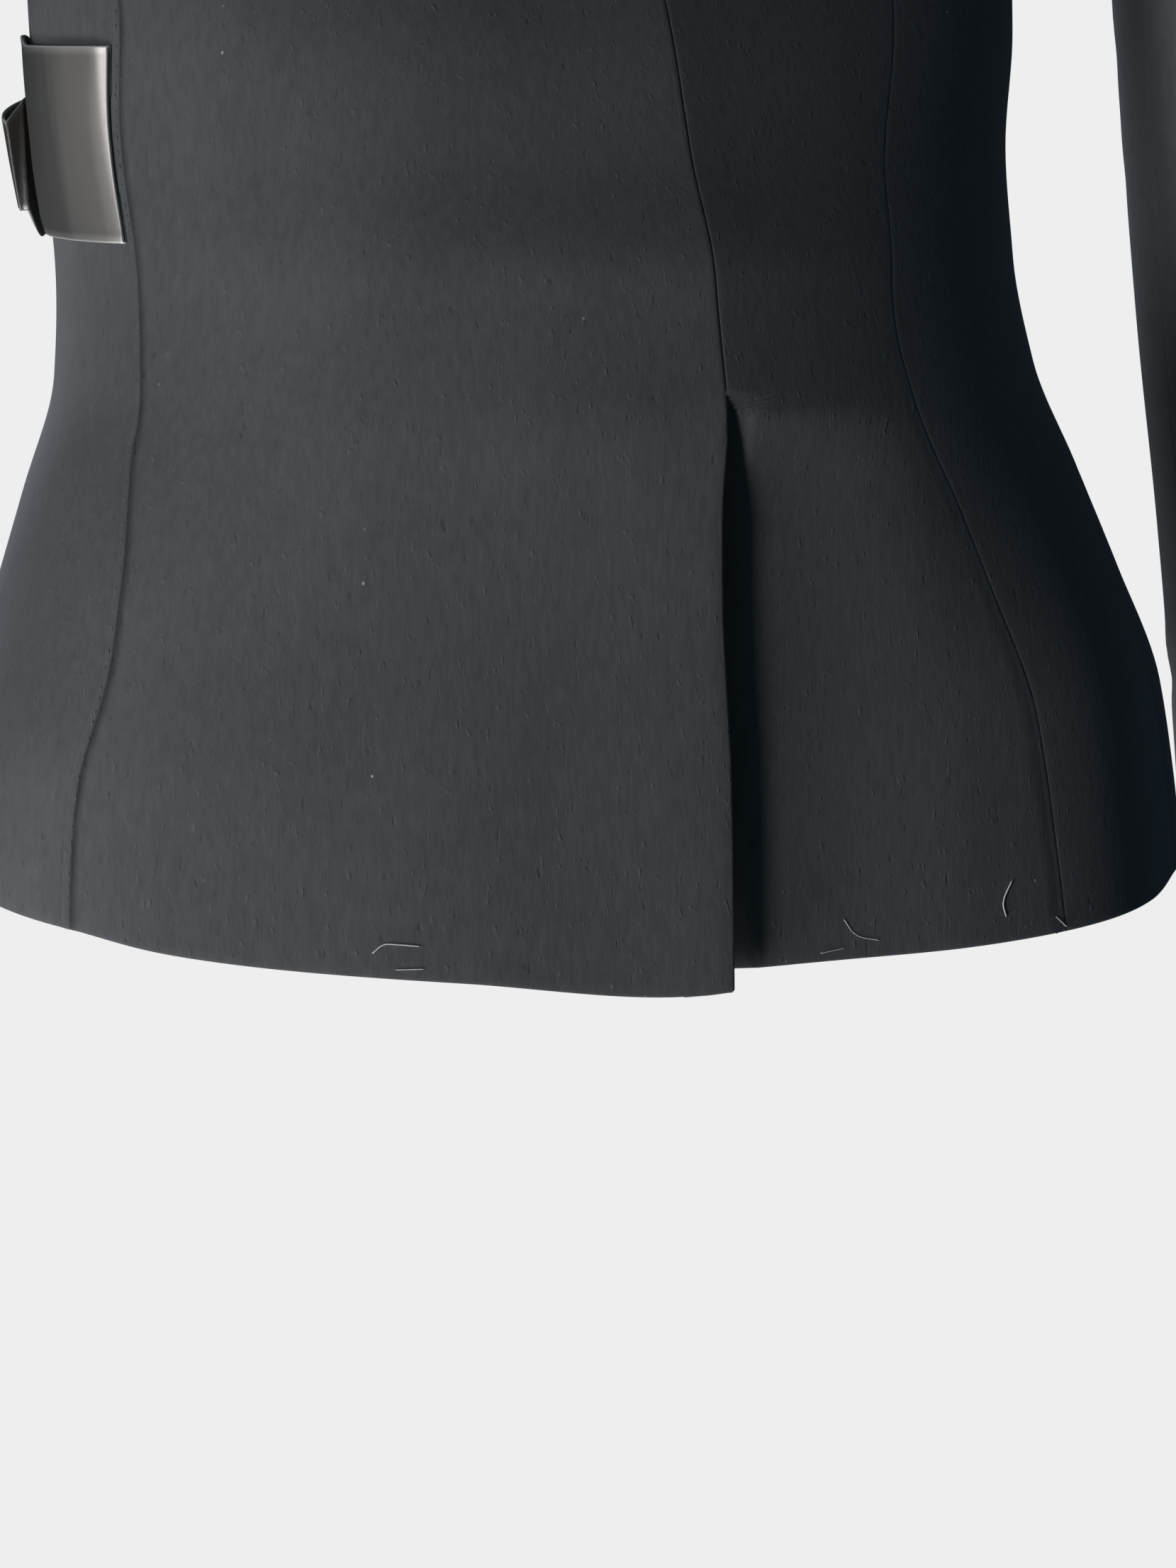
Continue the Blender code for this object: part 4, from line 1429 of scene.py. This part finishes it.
class JACKET_OT_bow(bpy.types.Operator):
    """Builds the knot, the two loops and the two free ends"""

    bl_idname = "jacket.bow"
    bl_label = "Satin bow"

    def execute(self, context):
        satin = context.scene.jacket_satin
        self.knot(satin)
        self.loop("bow_loop_back", 1.0, satin)
        self.loop("bow_loop_front", -1.0, satin)
        self.tail("bow_tail_under", 1.0, TAIL_OFF_UNDER, satin)
        self.tail("bow_tail_over", -1.0, TAIL_OFF_OVER, satin)
        return {"FINISHED"}

    def knot(self, satin):
        """A rounded wrap of satin with soft folds that run up and down over it."""
        seat, back_way, out_way = knot_frame()
        block = bmesh.new()
        bmesh.ops.create_cube(block, size=1.0)
        bmesh.ops.subdivide_edges(block, edges=block.edges, cuts=KNOT_CUTS, use_grid_fill=True)
        for vert in block.verts:
            cube = vert.co * 2.0
            reach = sum(abs(c) ** KNOT_ROUNDNESS for c in cube) ** (1.0 / KNOT_ROUNDNESS)
            along, off, up = (c / reach * size / 2 for c, size in zip(cube, KNOT_SIZE))
            waist = 1.0 - KNOT_WAIST * math.cos(math.pi * up / KNOT_SIZE.z)
            folds = KNOT_FOLD * math.cos(along * KNOT_FOLD_TURNS + up * KNOT_FOLD_LEAN)
            folds *= ease(0.5 + off / KNOT_SIZE.y)
            vert.co = (
                seat
                - back_way * along * waist
                + out_way * (KNOT_OUT + off * (1.0 if off < 0.0 else KNOT_FRONT) + folds)
                + Vector((0.0, 0.0, up))
            )
        finish_piece("bow_knot", block, 0.0, satin_material(satin), ["bow_knot"])

    def loop(self, name, way, satin):
        """Satin that goes out from the knot, folds over and comes back, puckered where it is tied."""
        across = edge_shares(LOOP_WIDTH, satin.fold_radius, LOOP_ROWS)
        root = LOOP_PATH[0].low_along
        runs = []
        for rise, _ in across:
            share = clamp((rise + 1.0) / 2)
            corners = [
                Vector((blend(c.low_along, c.high_along, share), blend(c.low_off, c.high_off, share)))
                for c in LOOP_PATH
            ]
            runs.append(rounded_path(corners, LOOP_ROUND, LOOP_CELLS))

        def place(part, step):
            rise, out = across[part]
            k = step if way < 0 else LOOP_CELLS - step
            run = runs[part]
            here = run[k]
            onward = (run[min(k + 1, LOOP_CELLS)] - run[max(k - 1, 0)]).normalized()
            pucker = LOOP_PUCKER * math.cos(rise * LOOP_PUCKER_TURNS)
            pucker *= ease(1.0 - (here.x - root) / LOOP_PUCKER_RUN)
            here = here + Vector((onward.y, -onward.x)) * (out + pucker)
            reach = here.x / LOOP_OUTER_TIP.high_along
            inner_off = LOOP_INNER_TIP.high_off
            outer = clamp((here.y - inner_off) / (LOOP_OUTER_TIP.high_off - inner_off))
            hang = ease((LOOP_INNER_TIP.low_along - here.x) / LOOP_HANG_RUN)
            hang *= ease((here.x - LOOP_HANG_START) / LOOP_HANG_START)
            spread = blend(LOOP_PINCH, 1.0, ease(reach * 1.4 - 0.2))
            up = rise * LOOP_WIDTH / 2 * spread - LOOP_DROOP * reach * reach
            up -= LOOP_SLOPE * outer * clamp((rise + 1.0) / 2) * ease(reach * 1.5 - 0.25)
            up -= LOOP_SAG * (1.0 - outer) * ease(-rise) * hang
            return by_knot(way * here.x, up, here.y)

        loop = new_ribbon(name, LOOP_CELLS, across, LOOP_WIDTH, place, satin)

    def tail(self, name, way, off, satin):
        """A free end of the tie, hanging from the knot and cut on a slant."""
        top = -KNOT_SIZE.z / 2 - BOW_GAP
        across = edge_shares(TAIL_WIDTH, satin.fold_radius, TAIL_ROWS)

        def place(part, step):
            rise, out = across[part]
            v = step / TAIL_CELLS
            spread = blend(TAIL_PINCH, 1.0, ease(v * TAIL_FLARE))
            length = TAIL_LENGTH + TAIL_SLANT * rise * way
            up = top - length * v
            along = way * TAIL_LEAN * ease(v) - rise * TAIL_WIDTH / 2 * spread
            pleats = TAIL_PLEAT * math.cos(rise * TAIL_PLEAT_TURNS) * ease(1.0 - v * 2.5)
            return by_knot(along, up, off - TAIL_CUP * math.cos(math.pi * rise) + pleats + out)

        tail = new_ribbon(name, TAIL_CELLS, across, TAIL_WIDTH, place, satin, upright=True)


class JACKET_OT_sewing(bpy.types.Operator):
    """Builds the prick stitches beside the left side seam and the fluff that clings near the hem"""

    bl_idname = "jacket.sewing"
    bl_label = "Stitches and fluff"

    def execute(self, context):
        self.stitches()
        self.fluff()
        return {"FINISHED"}

    def stitches(self):
        """A short thread every few millimetres, sunk a little at both ends."""
        seam = bmesh.new()
        height = STITCH_LOW
        k = 0
        while height < STITCH_HIGH:
            angle = SIDE(height) - angle_of(STITCH_BESIDE, SIDE(height), height)
            angle += STITCH_STRAY * noise.noise(Vector((k * 7.3, 0.5, 0.5)))
            half = STITCH_LENGTH / 2 * (1.0 + 0.8 * noise.noise(Vector((k * 3.1, 2.5, 0.5))))
            ends = [off_body(angle, height + side * half, -STITCH_SINK) for side in (-1.0, 1.0)]
            middle = off_body(angle, height, STITCH_OFF)
            add_thread(seam, [ends[0], middle, ends[1]], STITCH_ROUND, 6)
            height += STITCH_STEP * (1.0 + 0.7 * noise.noise(Vector((k * 5.7, 4.5, 0.5))))
            k += 1
        thread = thread_material(
            "Sewing thread", 0.6, STITCH_GRAIN, (0.05, 0.052, 0.058, 1.0), (0.20, 0.20, 0.21, 1.0)
        )
        finish_piece("side_seam_stitches", seam, 0.0, thread, [])

    def fluff(self):
        """Fine pale hairs that cling to the crepe."""
        hairs = bmesh.new()
        for hair in HAIRS:
            points = []
            for angle, height in hair.places:
                lift = right_back(angle, height) if hair.side < 0.0 else 0.0
                points.append(on_side(off_body(angle, height, HAIR_OFF + lift), hair.side))
            add_thread(hairs, soft_run(points, 10), hair.round, 5)
        pale = thread_material(
            "Pale fluff", 0.9, HAIR_GRAIN, (0.30, 0.30, 0.31, 1.0), (0.62, 0.62, 0.63, 1.0)
        )
        finish_piece("hem_fluff", hairs, 0.0, pale, [])


def direction(bearing, rise):
    """A unit vector from degrees round, counted from the wearer's left, and degrees up."""
    bearing, rise = math.radians(bearing), math.radians(rise)
    return Vector((math.cos(bearing) * math.cos(rise), math.sin(bearing) * math.cos(rise), math.sin(rise)))


class JACKET_OT_studio(bpy.types.Operator):
    """Builds the pale studio, its lights and the camera"""

    bl_idname = "jacket.studio"
    bl_label = "Studio"

    def execute(self, context):
        studio = context.scene.jacket_studio
        self.backdrop(studio)
        for lamp in LAMPS:
            self.lamp(lamp)
        self.world(studio)
        self.camera(context.scene)
        context.scene.view_settings.view_transform = "Standard"
        return {"FINISHED"}

    def backdrop(self, studio):
        """A round floor that curves up into a wall all round, seen by the camera only."""
        graph = Graph(
            "Pale backdrop", Roughness=1.0, Base_Color=(0.0, 0.0, 0.0, 1.0), Specular_IOR_Level=0.0,
            Emission_Color=tuple(studio.pale), Emission_Strength=1.0,
        )
        sweep = bmesh.new()
        verts = [sweep.verts.new((FLOOR_START, 0.0, studio.floor))]
        for k in range(COVE_STEPS + 1):
            turn = math.radians(90.0 / COVE_STEPS * k)
            across = studio.radius - COVE + COVE * math.sin(turn)
            verts.append(sweep.verts.new((across, 0.0, studio.floor + COVE * (1.0 - math.cos(turn)))))
        verts.append(sweep.verts.new((studio.radius, 0.0, studio.floor + WALL_HEIGHT)))
        edges = [sweep.edges.new(pair) for pair in zip(verts, verts[1:])]
        bmesh.ops.spin(
            sweep, geom=verts + edges, cent=(0, 0, 0), axis=(0, 0, 1), angle=math.tau, steps=STUDIO_STEPS,
            use_merge=True,
        )
        bmesh.ops.remove_doubles(sweep, verts=sweep.verts, dist=FLOOR_WELD)
        floor = new_object("studio_floor", finish_mesh("studio_floor", sweep, graph.material))
        floor.visible_diffuse = False
        floor.visible_glossy = False
        floor.visible_transmission = False
        floor.visible_shadow = False

    def lamp(self, lamp):
        """A soft rectangular light that faces its aim."""
        light = bpy.data.lights.new(lamp.name, "AREA")
        light.shape = "RECTANGLE"
        light.size = lamp.width
        light.size_y = lamp.height
        light.energy = lamp.power
        light.spread = math.radians(lamp.spread)
        holder = new_object(lamp.name, light)
        way = direction(lamp.bearing, lamp.rise)
        holder.location = Vector(lamp.aim) + way * lamp.distance
        holder.rotation_euler = (-way).to_track_quat("-Z", "Y").to_euler()
        holder.visible_camera = False
        holder.visible_diffuse = lamp.matt
        holder.visible_glossy = lamp.shine
        light.use_shadow = lamp.shadow

    def world(self, studio):
        world = bpy.data.worlds.new("Studio light")
        world.use_nodes = True
        background = world.node_tree.nodes["Background"]
        background.inputs["Color"].default_value = FILL_COLOUR
        background.inputs["Strength"].default_value = studio.fill
        bpy.context.scene.world = world

    def camera(self, scene):
        data = bpy.data.cameras.new("camera")
        data.sensor_fit = "VERTICAL"
        data.sensor_height = SENSOR_HEIGHT
        data.sensor_width = SENSOR_HEIGHT
        data.lens = CAMERA_LENS
        camera = new_object("camera", data)
        back = direction(CAMERA_AZIMUTH - 90.0, CAMERA_ELEVATION)
        right = Vector((0.0, 0.0, 1.0)).cross(back).normalized()
        look = Vector((0.0, 0.0, CAMERA_LOOK_HEIGHT)) + right * CAMERA_ASIDE
        pose = Matrix((right, back.cross(right), back)).transposed().to_4x4()
        pose.translation = look + back * CAMERA_DISTANCE
        camera.matrix_world = pose
        scene.camera = camera


class JACKET_PT_panel(bpy.types.Panel):
    """Lists the jacket's pieces and sizes"""

    bl_idname = "JACKET_PT_panel"
    bl_label = "Bow-trimmed jacket"
    bl_space_type = "VIEW_3D"
    bl_region_type = "UI"
    bl_category = "Jacket"

    def draw(self, context):
        layout = self.layout
        for group in (context.scene.jacket_cloth, context.scene.jacket_satin, context.scene.jacket_studio):
            box = layout.box()
            for name in group.__annotations__:
                box.prop(group, name)
        for operator in OPERATORS:
            layout.operator(operator.bl_idname)


GROUPS = {"jacket_cloth": JacketCloth, "jacket_satin": JacketSatin, "jacket_studio": JacketStudio}
OPERATORS = (
    JACKET_OT_back,
    JACKET_OT_front,
    JACKET_OT_sleeves,
    JACKET_OT_tie,
    JACKET_OT_bow,
    JACKET_OT_sewing,
    JACKET_OT_studio,
)


def register():
    for name, group in GROUPS.items():
        bpy.utils.register_class(group)
        setattr(bpy.types.Scene, name, PointerProperty(type=group))
    for operator in OPERATORS:
        bpy.utils.register_class(operator)
    bpy.utils.register_class(JACKET_PT_panel)


def unregister():
    bpy.utils.unregister_class(JACKET_PT_panel)
    for operator in reversed(OPERATORS):
        bpy.utils.unregister_class(operator)
    for name, group in GROUPS.items():
        delattr(bpy.types.Scene, name)
        bpy.utils.unregister_class(group)


def main():
    register()
    bpy.ops.jacket.back()
    bpy.ops.jacket.front()
    bpy.ops.jacket.sleeves()
    bpy.ops.jacket.tie()
    bpy.ops.jacket.bow()
    bpy.ops.jacket.sewing()
    bpy.ops.jacket.studio()


if __name__ == "__main__":
    main()
